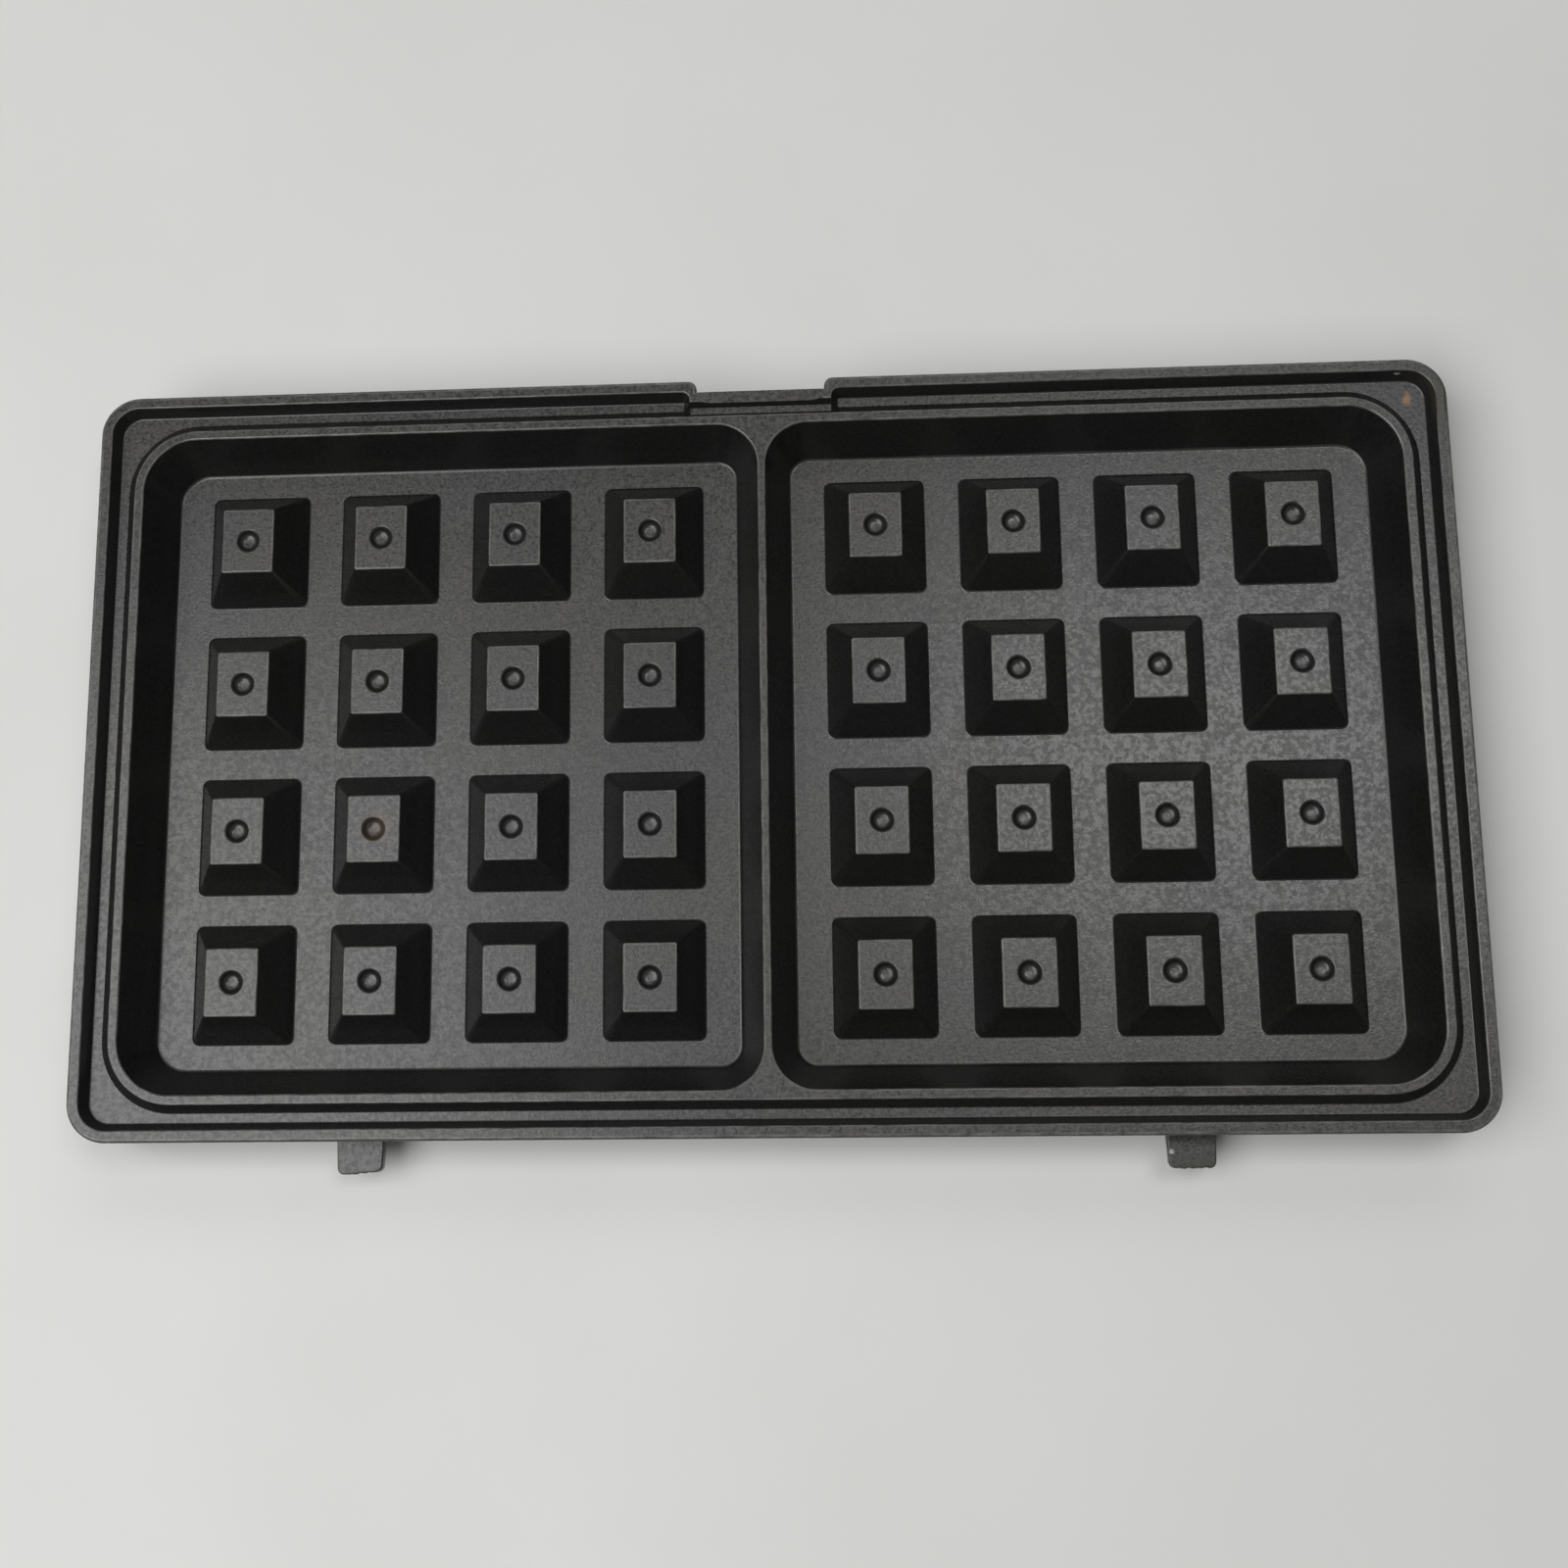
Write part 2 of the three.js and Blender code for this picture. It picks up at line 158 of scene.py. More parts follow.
class EdgeSizes(PropertyGroup):
    """Section of the plate's edge, from the rim to the moulds. Heights are above the moulds' floor."""

    reach: length("Lug reach", "How far the lugs stand out of the near side", 5.4)
    corner: length("Corner radius", "Plan radius of the plate's corners", 6.6)
    rim_height: length("Rim height", "Top of the rim", 9.6)
    rib_height: length("Rib height", "Top of the rib and of the divider", 8.7)
    gutter_height: length("Gutter height", "Floor of the gutter", 7)
    rim_width: length("Rim width", "Flat top of the rim", 1.95)
    rim_wall_run: length("Rim wall run", "How far the rim's inner wall leans", 1.05)
    gutter_width: length("Gutter width", "Flat floor of the gutter", 1.65)
    rib_wall_run: length("Rib wall run", "How far the rib's outer wall leans", 1.5)
    rib_width: length("Rib width", "Flat top of the rib", 1.4)
    mould_wall_run: length("Mould wall run", "How far the moulds' walls lean", 3.95)
    rim_round: length("Rim round", "Radius of the rim's outer edge", 0.6)
    inner_round: length("Inner round", "Radius of the rim's inner edge", 0.3)
    rib_round: length("Rib round", "Radius of the rib's edges", 0.38)
    foot_round: length("Foot round", "Radius where a wall meets the gutter's floor", 0.35)
    mould_foot_round: length("Mould foot round", "Radius where a mould's wall meets its floor", 0.7)


class MouldSizes(PropertyGroup):
    """The two moulds and their pegs."""

    outer_corner: length("Outer corner", "Plan radius of a mould's corners on the plate's end", 9.2)
    inner_corner: length("Inner corner", "Plan radius of a mould's corners on the divider", 7.4)
    divider: length("Divider", "Flat top of the divider between the moulds", 1.15)
    columns: count("Peg columns", "Columns of pegs in a mould", 4, 1)
    rows: count("Peg rows", "Rows of pegs in a mould", 4, 1)
    channel: length("Channel", "Width of the channels between the columns", 6.08)
    cross_channel: length("Cross channel", "Width of the channels between the rows", 5.35)
    end_cross_channel: length("End channel", "Width of the first and last cross channel", 4.45)
    peg_height: length("Peg height", "Top of the pegs", 7.85)
    peg_run_along: length("Peg run along", "How far a peg narrows on each side, along the plate", 4.18)
    peg_run_across: length("Peg run across", "How far a peg narrows on each side, across it", 4.4)
    peg_base_corner: length("Peg base corner", "Plan radius of a peg's corners at its foot", 1.05)
    peg_top_corner: length("Peg top corner", "Plan radius of a peg's corners at its top", 0.35)
    peg_foot_reach: length("Peg foot", "How far the round at a peg's foot reaches", 0.28)
    peg_top_reach: length("Peg edge", "How far the round at a peg's top reaches", 0.2)
    dimple_width: length("Dimple width", "Width of the dimple in a peg's top", 3.8)
    dimple_depth: length("Dimple depth", "Depth of the dimple in a peg's top", 1.2)
    dimple_power: number("Dimple fullness", "2 is a bowl like a ball's, more is flatter in the middle", 4)
    dimple_round: length("Dimple round", "Radius of the dimple's edge", 0.5)


class CatchSizes(PropertyGroup):
    """The catch in the far side and the lugs on the near side."""

    catch_width: length("Catch width", "Length of the stretch of the rim that is set in", 21.8)
    catch_inset: length("Catch inset", "How far it is set in", 1.9)
    catch_corner: length("Catch corner", "Plan radius of the rim beside the catch", 1.4)
    ledge_length: length("Ledge length", "Length of the lowered top of the rim", 17.2)
    ledge_drop: length("Ledge drop", "How far the ledge is lower than the rim", 0.5)
    ledge_run: length("Ledge run", "How far its ends slope", 2.2)
    pad_width: length("Pad width", "Length of the raised floor beside the catch", 24.1)
    pad_inset: length("Pad inset", "How far the rim's inner edge is set in there", 1.8)
    pad_corner: length("Pad corner", "Plan radius of the gutter's corners there, at its floor", 0.3)
    pad_rise: length("Pad rise", "How far the gutter's floor is raised", 1)
    pad_run: length("Pad run", "How far the pad's ends slope", 0.9)
    lug_spacing: length("Lug spacing", "Distance between the middles of the lugs", 135)
    lug_root: length("Lug root", "Width of a lug at its root", 7.9)
    lug_tip: length("Lug tip", "Width of a lug at its tip", 7.4)
    lug_rise: length("Lug rise", "Underside of a lug above the skirt's foot", 1.4)
    lug_thickness: length("Lug thickness", "Thickness of a lug", 2)
    lug_corner: length("Lug corner", "Plan radius of a lug's free corners", 1)
    lug_round: length("Lug round", "Radius of a lug's edges", 0.3)
    lug_break: length("Lug break", "How far the broken part of a lug's tip is set back", 0.4)


class UndersideSizes(PropertyGroup):
    """Walls of the casting, seen from below, and the seat of the heating element."""

    wall: length("Wall", "Thickness of the floors and walls", 2.6)
    skirt: length("Skirt", "Thickness of the skirt", 2.5)
    skirt_drop: length("Skirt drop", "How far the skirt hangs below the moulds' floor", 0.9)
    skirt_draft: length("Skirt draft", "How far the skirt's inner face leans", 0.25)
    skirt_round: length("Skirt round", "Radius of the lower edges", 0.4)
    inner_round: length("Inner round", "Radius of the inner corners below", 0.8)
    peg_roof: length("Peg roof", "Thickness of a peg's top under its dimple", 1.6)
    slot_width: length("Slot width", "Top of the slot under the divider", 1.1)
    slot_draft: length("Slot draft", "How far the slot's ends lean", 0.8)
    loop_length: length("Loop length", "Length of the heating element's loop", 170)
    ring_width: length("Ring width", "Foot of the ring that sits on the heating element", 12)
    ring_draft: length("Ring draft", "How far the ring's sides lean", 0.6)
    groove: length("Groove radius", "Radius of the groove for the heating element", 3.4)


class CoatLook(PropertyGroup):
    """Colours, gloss and grain of the non-stick coating."""

    dark: colour("Coating", "Colour of the coating", (0.003, 0.003, 0.003))
    fleck: colour("Flecks", "Colour of the soft light flecks in the coating", (0.035, 0.0348, 0.0343))
    tanned: colour("Tanned flecks", "Colour of the flecks where use has tanned them", (0.037, 0.034, 0.031))
    # rubbed edges: a paler colour that stands for worn coating and also serves as a painted highlight on
    # the rounded edges
    worn_edge_highlight: colour("Rubbed edge", "Colour of the coating where it is rubbed thin", (0.11, 0.108, 0.104))
    tan: colour("Tan", "Colour of a patch that is tanned all over", (0.045, 0.031, 0.022))
    scorch: colour("Scorch", "Colour of a spot that has burnt on", (0.17, 0.095, 0.045))
    stain: colour("Stain", "Colour of a film of old fat", (0.018, 0.017, 0.011))
    pit: colour("Pit", "Colour inside a pit in the coating", (0.001, 0.001, 0.001))
    bare: colour("Bare metal", "Colour where the coating has chipped off", (0.42, 0.42, 0.4))
    flat_roughness: share("Roughness of flats", "Roughness of the coating on flat faces", 0.32)
    steep_roughness: share("Roughness of slopes", "Roughness of the coating on slopes and in dimples", 0.29)
    uneven: share("Unevenness", "How much the roughness changes over the flecks", 0.12)
    # slopes keep only a small share of the flecks' colour: painted shade that darkens the steep faces
    slope_shade_low: share("Dull slopes", "Share of the flecks' colour in the slopes' darkest parts", 0.1)
    slope_shade_high: share("Light slopes", "Share of the flecks' colour in the slopes' lightest parts", 0.2)
    refraction: number("Refraction", "Refractive index of the coating", 1.53)
    fleck_size: length("Fleck size", "Distance between the flecks", 0.5)
    grain: length("Grain", "Size of the coating's grain", 0.4)
    grain_height: length("Grain height", "Height of the coating's grain", 0.025)
    slope_grain: share("Grain of slopes", "Share of the grain's height that slopes keep", 0.25)


class StageLook(PropertyGroup):
    """The table that the plate lies on, the lights and the camera."""

    table: colour("Table", "Colour of the table's top", (0.67, 0.675, 0.654))
    table_dark: colour("Table's shade", "Colour of the faint clouds on the table", (0.652, 0.655, 0.634))
    table_size: length("Table size", "Width of the table's top", 6000)
    fade_start: length("Fade start", "Where the table begins to fade into the backdrop", 300)
    fade_end: length("Fade end", "Where the table is as pale as the backdrop", 1000)
    left_place: place("Left lamp", "Middle of the left lamp", (-0.69, -0.36, 1.1))
    left_size: place("Left lamp's size", "Sides of the left lamp", (1.012, 1.31), size=2)
    left_power: power("Left lamp's power", "Power of the left lamp", 17.3)
    right_place: place("Right lamp", "Middle of the right lamp", (0.285, 0.201, 1.1))
    right_size: place("Right lamp's size", "Sides of the right lamp", (0.47, 0.314), size=2)
    right_power: power("Right lamp's power", "Power of the right lamp", 2.67)
    back_place: place("Back lamp", "Middle of the lamp behind the plate", (0.3, 1.45, 1.5))
    back_size: place("Back lamp's size", "Sides of the lamp behind the plate", (1.6, 0.9), size=2)
    back_power: power("Back lamp's power", "Power of the lamp behind the plate", 6.5)
    fill: share("Fill light", "Strength of the light from all round", 0.1)
    backdrop: share("Backdrop", "Strength at which the camera and the gloss see the backdrop", 0.6)
    lens: number("Lens", "Focal length in millimetres", 44.69)
    sensor: number("Sensor", "Width of the camera's sensor in millimetres", 36)
    shift: FloatVectorProperty(
        name="Shift", description="Shift of the camera's frame", default=(0.0367, -0.0219), size=2
    )
    camera_place: place("Camera", "Place of the camera", (0.01314, -0.05761, 0.3302))
    camera_turn: FloatVectorProperty(
        name="Camera's turn", description="Turn of the camera from looking straight down", subtype="EULER",
        default=[math.radians(angle) for angle in (10.6617, 3.6091, -0.4626)],
    )


class Fineness(PropertyGroup):
    """How finely the round forms are divided."""

    corner: count("Corners", "Faces round a plan corner", 14, 2)
    edge: count("Edges", "Faces across a rounded edge", 4, 1)
    peg_corner: count("Peg corners", "Faces round a peg's corner", 4, 1)
    dimple: count("Dimples", "Faces round a dimple", 40, 8)
    loop: count("Loop", "Faces round each end of the heater's loop", 32, 8)
    overrun: length("Overrun", "How far a joined or cutting solid runs past the face that it meets", 1)
    seat: length("Seat", "How far a rounded foot is sunk into the face that it stands on", 0.02)


def leave_edit():
    """Ends edit mode, if it is on, and deselects everything."""
    if bpy.context.mode != "OBJECT":
        bpy.ops.object.mode_set(mode="OBJECT")
    bpy.ops.object.select_all(action="DESELECT")


def choose(piece):
    """Makes a piece the only selected one, and the active one."""
    leave_edit()
    piece.select_set(True)
    bpy.context.view_layer.objects.active = piece


def edit(piece):
    """Opens a piece in edit mode."""
    choose(piece)
    bpy.ops.object.mode_set(mode="EDIT")


def pick(kind, test=lambda element: True):
    """Selects the vertices, edges or faces of the piece in edit mode that pass a test, or all of them."""
    bpy.ops.mesh.select_mode(type=kind)
    bpy.ops.mesh.select_all(action="DESELECT")
    mesh = bmesh.from_edit_mesh(bpy.context.edit_object.data)
    elements = {"VERT": mesh.verts, "EDGE": mesh.edges, "FACE": mesh.faces}[kind]
    for element in elements:
        if test(element):
            element.select_set(True)
    mesh.select_flush_mode()
    bmesh.update_edit_mesh(bpy.context.edit_object.data)


def tilt(face):
    """Angle by which a face leans away from lying flat, looking up."""
    return face.normal.angle(Vector((0, 0, 1)), 0)


def mark(piece, name, test):
    """Gives the faces of a piece that pass a test the value 1 in an attribute, and the others 0."""
    choose(piece)
    bpy.ops.geometry.attribute_add(name=name, domain="FACE", data_type="FLOAT")
    edit(piece)
    pick("FACE", test)
    piece.data.attributes.active = piece.data.attributes[name]
    bpy.ops.mesh.attribute_set(value_float=1)
    leave_edit()


def near(a, b):
    """Whether two lengths are the same to a thousandth of a millimetre."""
    return abs(a - b) < TINY


def lies(axis, value):
    """Test for an edge that lies at a value along an axis."""
    return lambda edge: all(near(vertex.co[axis], value) for vertex in edge.verts)


def plane(name, low, high, z):
    """Flat rectangle between two corners at a height, open in edit mode."""
    leave_edit()
    bpy.ops.mesh.primitive_plane_add(size=1, location=((low[0] + high[0]) / 2, (low[1] + high[1]) / 2, z))
    piece = bpy.context.object
    piece.name = name
    piece.scale = (high[0] - low[0], high[1] - low[1], 1)
    bpy.ops.object.transform_apply(location=True, rotation=True, scale=True)
    edit(piece)
    return piece


def centred_plane(name, half, z):
    """Flat rectangle about the plate's middle at a height, given half its size, open in edit mode."""
    return plane(name, (-half[X], -half[Y]), half, z)


def round_corners(radius, steps, test=lambda co: True):
    """Rounds the corners of a flat outline whose coordinates pass a test, or all of them."""
    pick("VERT", lambda vertex: test(vertex.co))
    bpy.ops.mesh.bevel(affect="VERTICES", offset_type="OFFSET", offset=radius, segments=steps)


def round_edges(radius, steps, test):
    """Rounds the edges of the piece in edit mode that pass a test."""
    pick("EDGE", test)
    bpy.ops.mesh.bevel(affect="EDGES", offset=radius, segments=steps)


def stepped_plane(name, half, step_half, step_inset, step_corner, corner, z, sizes):
    """The plate's outline at a height, rounded, with a step in the middle of its far side."""
    far = half[1] - step_inset
    piece = plane(name, (-half[0], -half[1]), (half[0], far), z)
    for side in (-1, 1):
        pick("FACE")
        bpy.ops.mesh.bisect(plane_co=(side * step_half, 0, 0), plane_no=(1, 0, 0))
    on_far_side = lies(Y, far)
    pick("EDGE", lambda edge: on_far_side(edge) and abs(sum(v.co.x for v in edge.verts)) > step_half)
    bpy.ops.mesh.extrude_region_move(TRANSFORM_OT_translate={"value": (0, step_inset, 0)})
    bpy.ops.mesh.select_all(action="SELECT")
    bpy.ops.mesh.dissolve_limited(angle_limit=STRAIGHT_ANGLE)
    round_corners(corner, sizes.corner, lambda co: near(abs(co.x), half[0]))
    round_corners(step_corner, sizes.edge, lambda co: near(co.y, half[1]) and near(abs(co.x), step_half))
    pick("FACE")
    return piece


def rounded_profile(corners, steps):
    """Section line through (inwards, up, radius) corners, with an arc of that radius at each."""
    points = [Vector(corners[0][:2])]
    for before, here, after in zip(corners, corners[1:], corners[2:]):
        corner, radius = Vector(here[:2]), here[2]
        if not radius:
            points.append(corner)
            continue
        start = (Vector(before[:2]) - corner).normalized()
        end = (Vector(after[:2]) - corner).normalized()
        half = start.angle(end) / 2
        centre = corner + (start + end).normalized() * (radius / math.sin(half))
        first = corner + start * (radius / math.tan(half)) - centre
        last = corner + end * (radius / math.tan(half)) - centre
        turn = first.angle(last)
        for step in range(steps + 1):
            share_along = step / steps
            arm = first * math.sin((1 - share_along) * turn) + last * math.sin(share_along * turn)
            points.append(centre + arm / math.sin(turn))
    points.append(Vector(corners[-1][:2]))
    return points


def carry(points):
    """Carries the selected flat face, which looks up, along a section line that runs inwards."""
    for (inwards, height), (next_inwards, next_height) in zip(points, points[1:]):
        rise = next_height - height
        run = next_inwards - inwards
        if run > TINY:
            bpy.ops.mesh.inset(thickness=run, depth=rise, use_even_offset=True)
        elif abs(rise) > TINY:
            bpy.ops.mesh.extrude_region_move(TRANSFORM_OT_translate={"value": (0, 0, rise)})


def raise_solid(points):
    """Makes the flat piece in edit mode a closed solid along a section line that starts straight."""
    pick("FACE")
    carry(points)
    close_up()


def close_up():
    """Turns the faces of the closed piece in edit mode outwards and leaves edit mode."""
    bpy.ops.mesh.select_all(action="SELECT")
    bpy.ops.mesh.normals_make_consistent(inside=False)
    leave_edit()


def combine(piece, tool, operation):
    """Joins a tool to a piece, or cuts the piece with it, and removes the tool."""
    choose(piece)
    modifier = piece.modifiers.new(operation.lower(), "BOOLEAN")
    modifier.operation = operation
    modifier.object = tool
    modifier.solver = "MANIFOLD"
    bpy.ops.object.modifier_apply(modifier=modifier.name)
    bpy.data.objects.remove(tool)


class Plan:
    """Lengths that follow from the set ones and from the CAD box. Heights are above the moulds' floor."""

    def __init__(self, scene):
        self.edge = scene.waffle_edge
        self.moulds = scene.waffle_moulds
        self.catch = scene.waffle_catch
        self.below = scene.waffle_underside
        self.fine = scene.waffle_fineness
        edge, moulds, below = self.edge, self.moulds, self.below
        self.length = HIGH.x - LOW.x
        self.width = HIGH.y - LOW.y - edge.reach
        self.floor_level = HIGH.z - edge.rim_height
        self.middle_y = HIGH.y - self.width / 2
        self.gutter = edge.rim_width + edge.rim_wall_run
        self.rib_foot = self.gutter + edge.gutter_width
        self.rib = self.rib_foot + edge.rib_wall_run
        self.mould = self.rib + edge.rib_width
        self.slope = edge.mould_wall_run / edge.rib_height
        self.high_x = self.length / 2 - self.mould
        self.low_x = moulds.divider / 2
        self.half_width = self.width / 2 - self.mould
        self.mould_x = (self.high_x + self.low_x) / 2
        self.floor_length = self.high_x - self.low_x - 2 * edge.mould_wall_run
        self.floor_width = 2 * (self.half_width - edge.mould_wall_run)
        channels = (moulds.columns + 1) * moulds.channel
        self.peg_length = (self.floor_length - channels) / moulds.columns
        cross_channels = 2 * moulds.end_cross_channel + (moulds.rows - 1) * moulds.cross_channel
        self.peg_width = (self.floor_width - cross_channels) / moulds.rows
        self.pitch_along = self.peg_length + moulds.channel
        self.pitch_across = self.peg_width + moulds.cross_channel
        self.gutter_underside = edge.gutter_height - below.wall
        self.floor_underside = -below.wall
        self.ring_bottom = -self.floor_level
        self.core_top = moulds.peg_height - moulds.dimple_depth - below.peg_roof

    def half_size(self, inset):
        """Half the plate's length and half its width inside an inset."""
        return self.length / 2 - inset, self.width / 2 - inset

    def in_dimple(self, face):
        """Whether a face is part of the dimple in a peg's top, or of its edge."""
        moulds, centre = self.moulds, face.calc_center_median()
        top = moulds.peg_height
        if not top - moulds.dimple_depth - TINY < centre.z < top - TINY:
            return False
        offsets = []
        for along, pitch, pegs in (
            (abs(centre.x) - self.mould_x, self.pitch_along, moulds.columns),
            (centre.y, self.pitch_across, moulds.rows),
        ):
            middle = (pegs - 1) / 2
            nearest = min(max(round(along / pitch + middle), 0), pegs - 1) - middle
            offsets.append(along - nearest * pitch)
        return math.hypot(*offsets) < moulds.dimple_width / 2 + moulds.dimple_round

    def is_edge(self, face):
        """Whether a face is part of a rounded edge that opens upwards."""
        edge, moulds = self.edge, self.moulds
        if tilt(face) < LEVEL_TILT or self.in_dimple(face):
            return False
        heights = [vertex.co.z for vertex in face.verts]
        levels = (
            (edge.rim_height, edge.inner_round), (edge.rib_height, edge.rib_round),
            (moulds.peg_height, moulds.peg_top_reach),
        )
        return any(top - reach < min(heights) and max(heights) < top + TINY for top, reach in levels)

    def level_wall(self, run, height):
        """Level thickness of a wall that leans by run over height."""
        return self.below.wall * math.hypot(run, height) / height


def section(corners, mouth, fine):
    """Section line of a solid that starts straight at its mouth and rounds off into the flat that it meets.

    Corners are (inset from the plate's outer face, height, radius)."""
    first, last = corners[0], corners[-1]
    run_in = (first[0] - first[2] - STUB, first[1], 0)
    run_out = (last[0] + last[2] + STUB, last[1], 0)
    arcs = rounded_profile([run_in, *corners, run_out], fine.edge)
    lip = arcs[1].x
    seat = math.copysign(fine.seat, mouth - first[1])
    return [(lip, mouth), (lip, first[1] + seat), *arcs[2:-1]]


def outer_block(plan):
    """Block inside the plate's outer face, with its edges rounded."""
    edge, catch, below = plan.edge, plan.catch, plan.below
    foot = -below.skirt_drop
    block = stepped_plane(
        "casting", plan.half_size(0), catch.catch_width / 2, catch.catch_inset,
        catch.catch_corner, edge.corner, foot, plan.fine,
    )
    raise_solid([(0, foot), (0, edge.rim_height)])
    edit(block)
    for height, radius in ((edge.rim_height, edge.rim_round), (foot, below.skirt_round)):
        round_edges(radius, plan.fine.edge, lies(Z, height))
    leave_edit()
    return block


def skirt_hollow(plan):
    """Space inside the skirt, under the gutter and the moulds."""
    catch, below = plan.catch, plan.below
    mouth = -below.skirt_drop - plan.fine.overrun
    hollow = stepped_plane(
        "skirt hollow", plan.half_size(below.skirt), catch.catch_width / 2 + below.skirt,
        catch.catch_inset, catch.pad_corner, plan.edge.corner - below.skirt, mouth, plan.fine,
    )
    foot = -below.skirt_drop - plan.fine.seat
    raise_solid([(0, mouth), (0, foot), (below.skirt_draft, plan.gutter_underside)])
    return hollow


def tray_hull(plan):
    """Tray below the gutter, whose walls keep their thickness round the moulds."""
    edge, below = plan.edge, plan.below
    wall = plan.level_wall(edge.mould_wall_run, edge.rib_height)
    top = plan.gutter_underside + plan.fine.overrun
    shoulder = top - plan.fine.seat

    def inset(height):
        return plan.mould + plan.slope * (edge.rib_height - height) - wall

    start = inset(shoulder)
    tray = centred_plane("tray", plan.half_size(start), top)
    radius = plan.moulds.outer_corner + plan.mould - start
    round_corners(radius, plan.fine.corner)
    low = plan.floor_underside
    corners = [(start, shoulder, 0), (inset(low), low, below.skirt_round), (inset(low) + STUB, low, 0)]
    points = rounded_profile(corners, plan.fine.edge)[:-1]
    raise_solid([(start, top), *points])
    return tray


def gutter_hollow(plan):
    """Everything above the gutter's floor, out to the leaning inner wall of the rim."""
    edge, catch = plan.edge, plan.catch
    corners = [
        (edge.rim_width, edge.rim_height, edge.inner_round),
        (plan.gutter, edge.gutter_height, edge.foot_round),
    ]
    line = section(corners, edge.rim_height + plan.fine.overrun, plan.fine)
    inset = line[0][0]
    widening = edge.rim_width - inset
    hollow = stepped_plane(
        "gutter hollow", plan.half_size(inset), catch.pad_width / 2 - widening, catch.pad_inset,
        catch.pad_corner + edge.rim_wall_run + widening, edge.corner - inset, line[0][1], plan.fine,
    )
    raise_solid(line)
    return hollow


def rib_block(plan):
    """Rib with its leaning outer wall, still filled inside."""
    edge = plan.edge
    corners = [
        (plan.rib_foot, edge.gutter_height, edge.foot_round),
        (plan.rib, edge.rib_height, edge.rib_round),
    ]
    line = section(corners, edge.gutter_height - plan.fine.overrun, plan.fine)
    inset = line[0][0]
    block = centred_plane("rib", plan.half_size(inset), line[0][1])
    round_corners(plan.moulds.outer_corner + plan.mould - inset, plan.fine.corner)
    raise_solid(line)
    return block


def mould_hollow(plan, side):
    """Hollow of one mould, on the plate's right for side 1 or on its left for side -1."""
    edge, moulds = plan.edge, plan.moulds
    corners = [
        (plan.mould, edge.rib_height, edge.rib_round),
        (plan.mould + edge.mould_wall_run, 0, edge.mould_foot_round),
    ]
    line = section(corners, edge.rib_height + plan.fine.overrun, plan.fine)
    inset = line[0][0] - plan.mould
    ends = sorted((side * (plan.low_x + inset), side * (plan.high_x - inset)))
    half = plan.half_width - inset
    hollow = plane("mould", (ends[0], -half), (ends[1], half), line[0][1])
    outer = side * (plan.high_x - inset)
    round_corners(moulds.outer_corner - inset, plan.fine.corner, lambda co: near(co.x, outer))
    inner = side * (plan.low_x + inset)
    round_corners(moulds.inner_corner - inset, plan.fine.corner, lambda co: near(co.x, inner))
    raise_solid(line)
    return hollow


def tapered_block(name, low_half, high_half, middle_y, low, high):
    """Block whose top is longer or shorter than its foot."""
    block = plane(name, (-low_half[0], middle_y - low_half[1]), (low_half[0], middle_y + low_half[1]), low)
    pick("FACE")
    bpy.ops.mesh.extrude_region_move(TRANSFORM_OT_translate={"value": (0, 0, high - low)})
    stretch = (high_half[0] / low_half[0], high_half[1] / low_half[1], 1)
    bpy.ops.transform.resize(value=stretch, center_override=(0, middle_y, high))
    close_up()
    return block


def far_side_block(plan, name, low_length, high_length, near_inset, far_inset, low, high):
    """Block across part of the plate's far side, between two insets from its outer face."""
    near_y = plan.width / 2 - near_inset
    far_y = plan.width / 2 - far_inset
    depth = (far_y - near_y) / 2
    return tapered_block(
        name, (low_length / 2, depth), (high_length / 2, depth), (near_y + far_y) / 2, low, high
    )


def ledge_hollow(plan):
    """What the catch takes off the top of the rim."""
    edge, catch = plan.edge, plan.catch
    low = edge.rim_height - catch.ledge_drop
    high = edge.rim_height + plan.fine.overrun
    widening = 2 * catch.ledge_run * (high - low) / catch.ledge_drop
    return far_side_block(
        plan, "ledge", catch.ledge_length, catch.ledge_length + widening,
        plan.rib_foot, -plan.fine.overrun, low, high,
    )


def gutter_pad(plan):
    """Pad that lifts the gutter's floor beside the catch, rooted in the rim's inner wall."""
    edge, catch = plan.edge, plan.catch
    far = edge.rim_width + edge.rim_wall_run / 2
    low = edge.gutter_height - plan.fine.overrun
    high = edge.gutter_height + catch.pad_rise
    widening = 2 * catch.pad_run * (high - low) / catch.pad_rise
    return far_side_block(
        plan, "pad", catch.pad_width + widening, catch.pad_width, plan.rib, far, low, high
    )


def peg_corners(plan, half, radius, now):
    """Brings the round corners of the peg's top face to their radius, about where they would be sharp."""
    height = plan.moulds.peg_height
    for side_x in (-1, 1):
        for side_y in (-1, 1):
            pick("VERT", lambda vertex: near(vertex.co.z, height)
                 and vertex.co.x * side_x > 0 and vertex.co.y * side_y > 0)
            apex = (side_x * half[0], side_y * half[1], height)
            bpy.ops.transform.resize(value=(radius / now[0], radius / now[1], 1), center_override=apex)


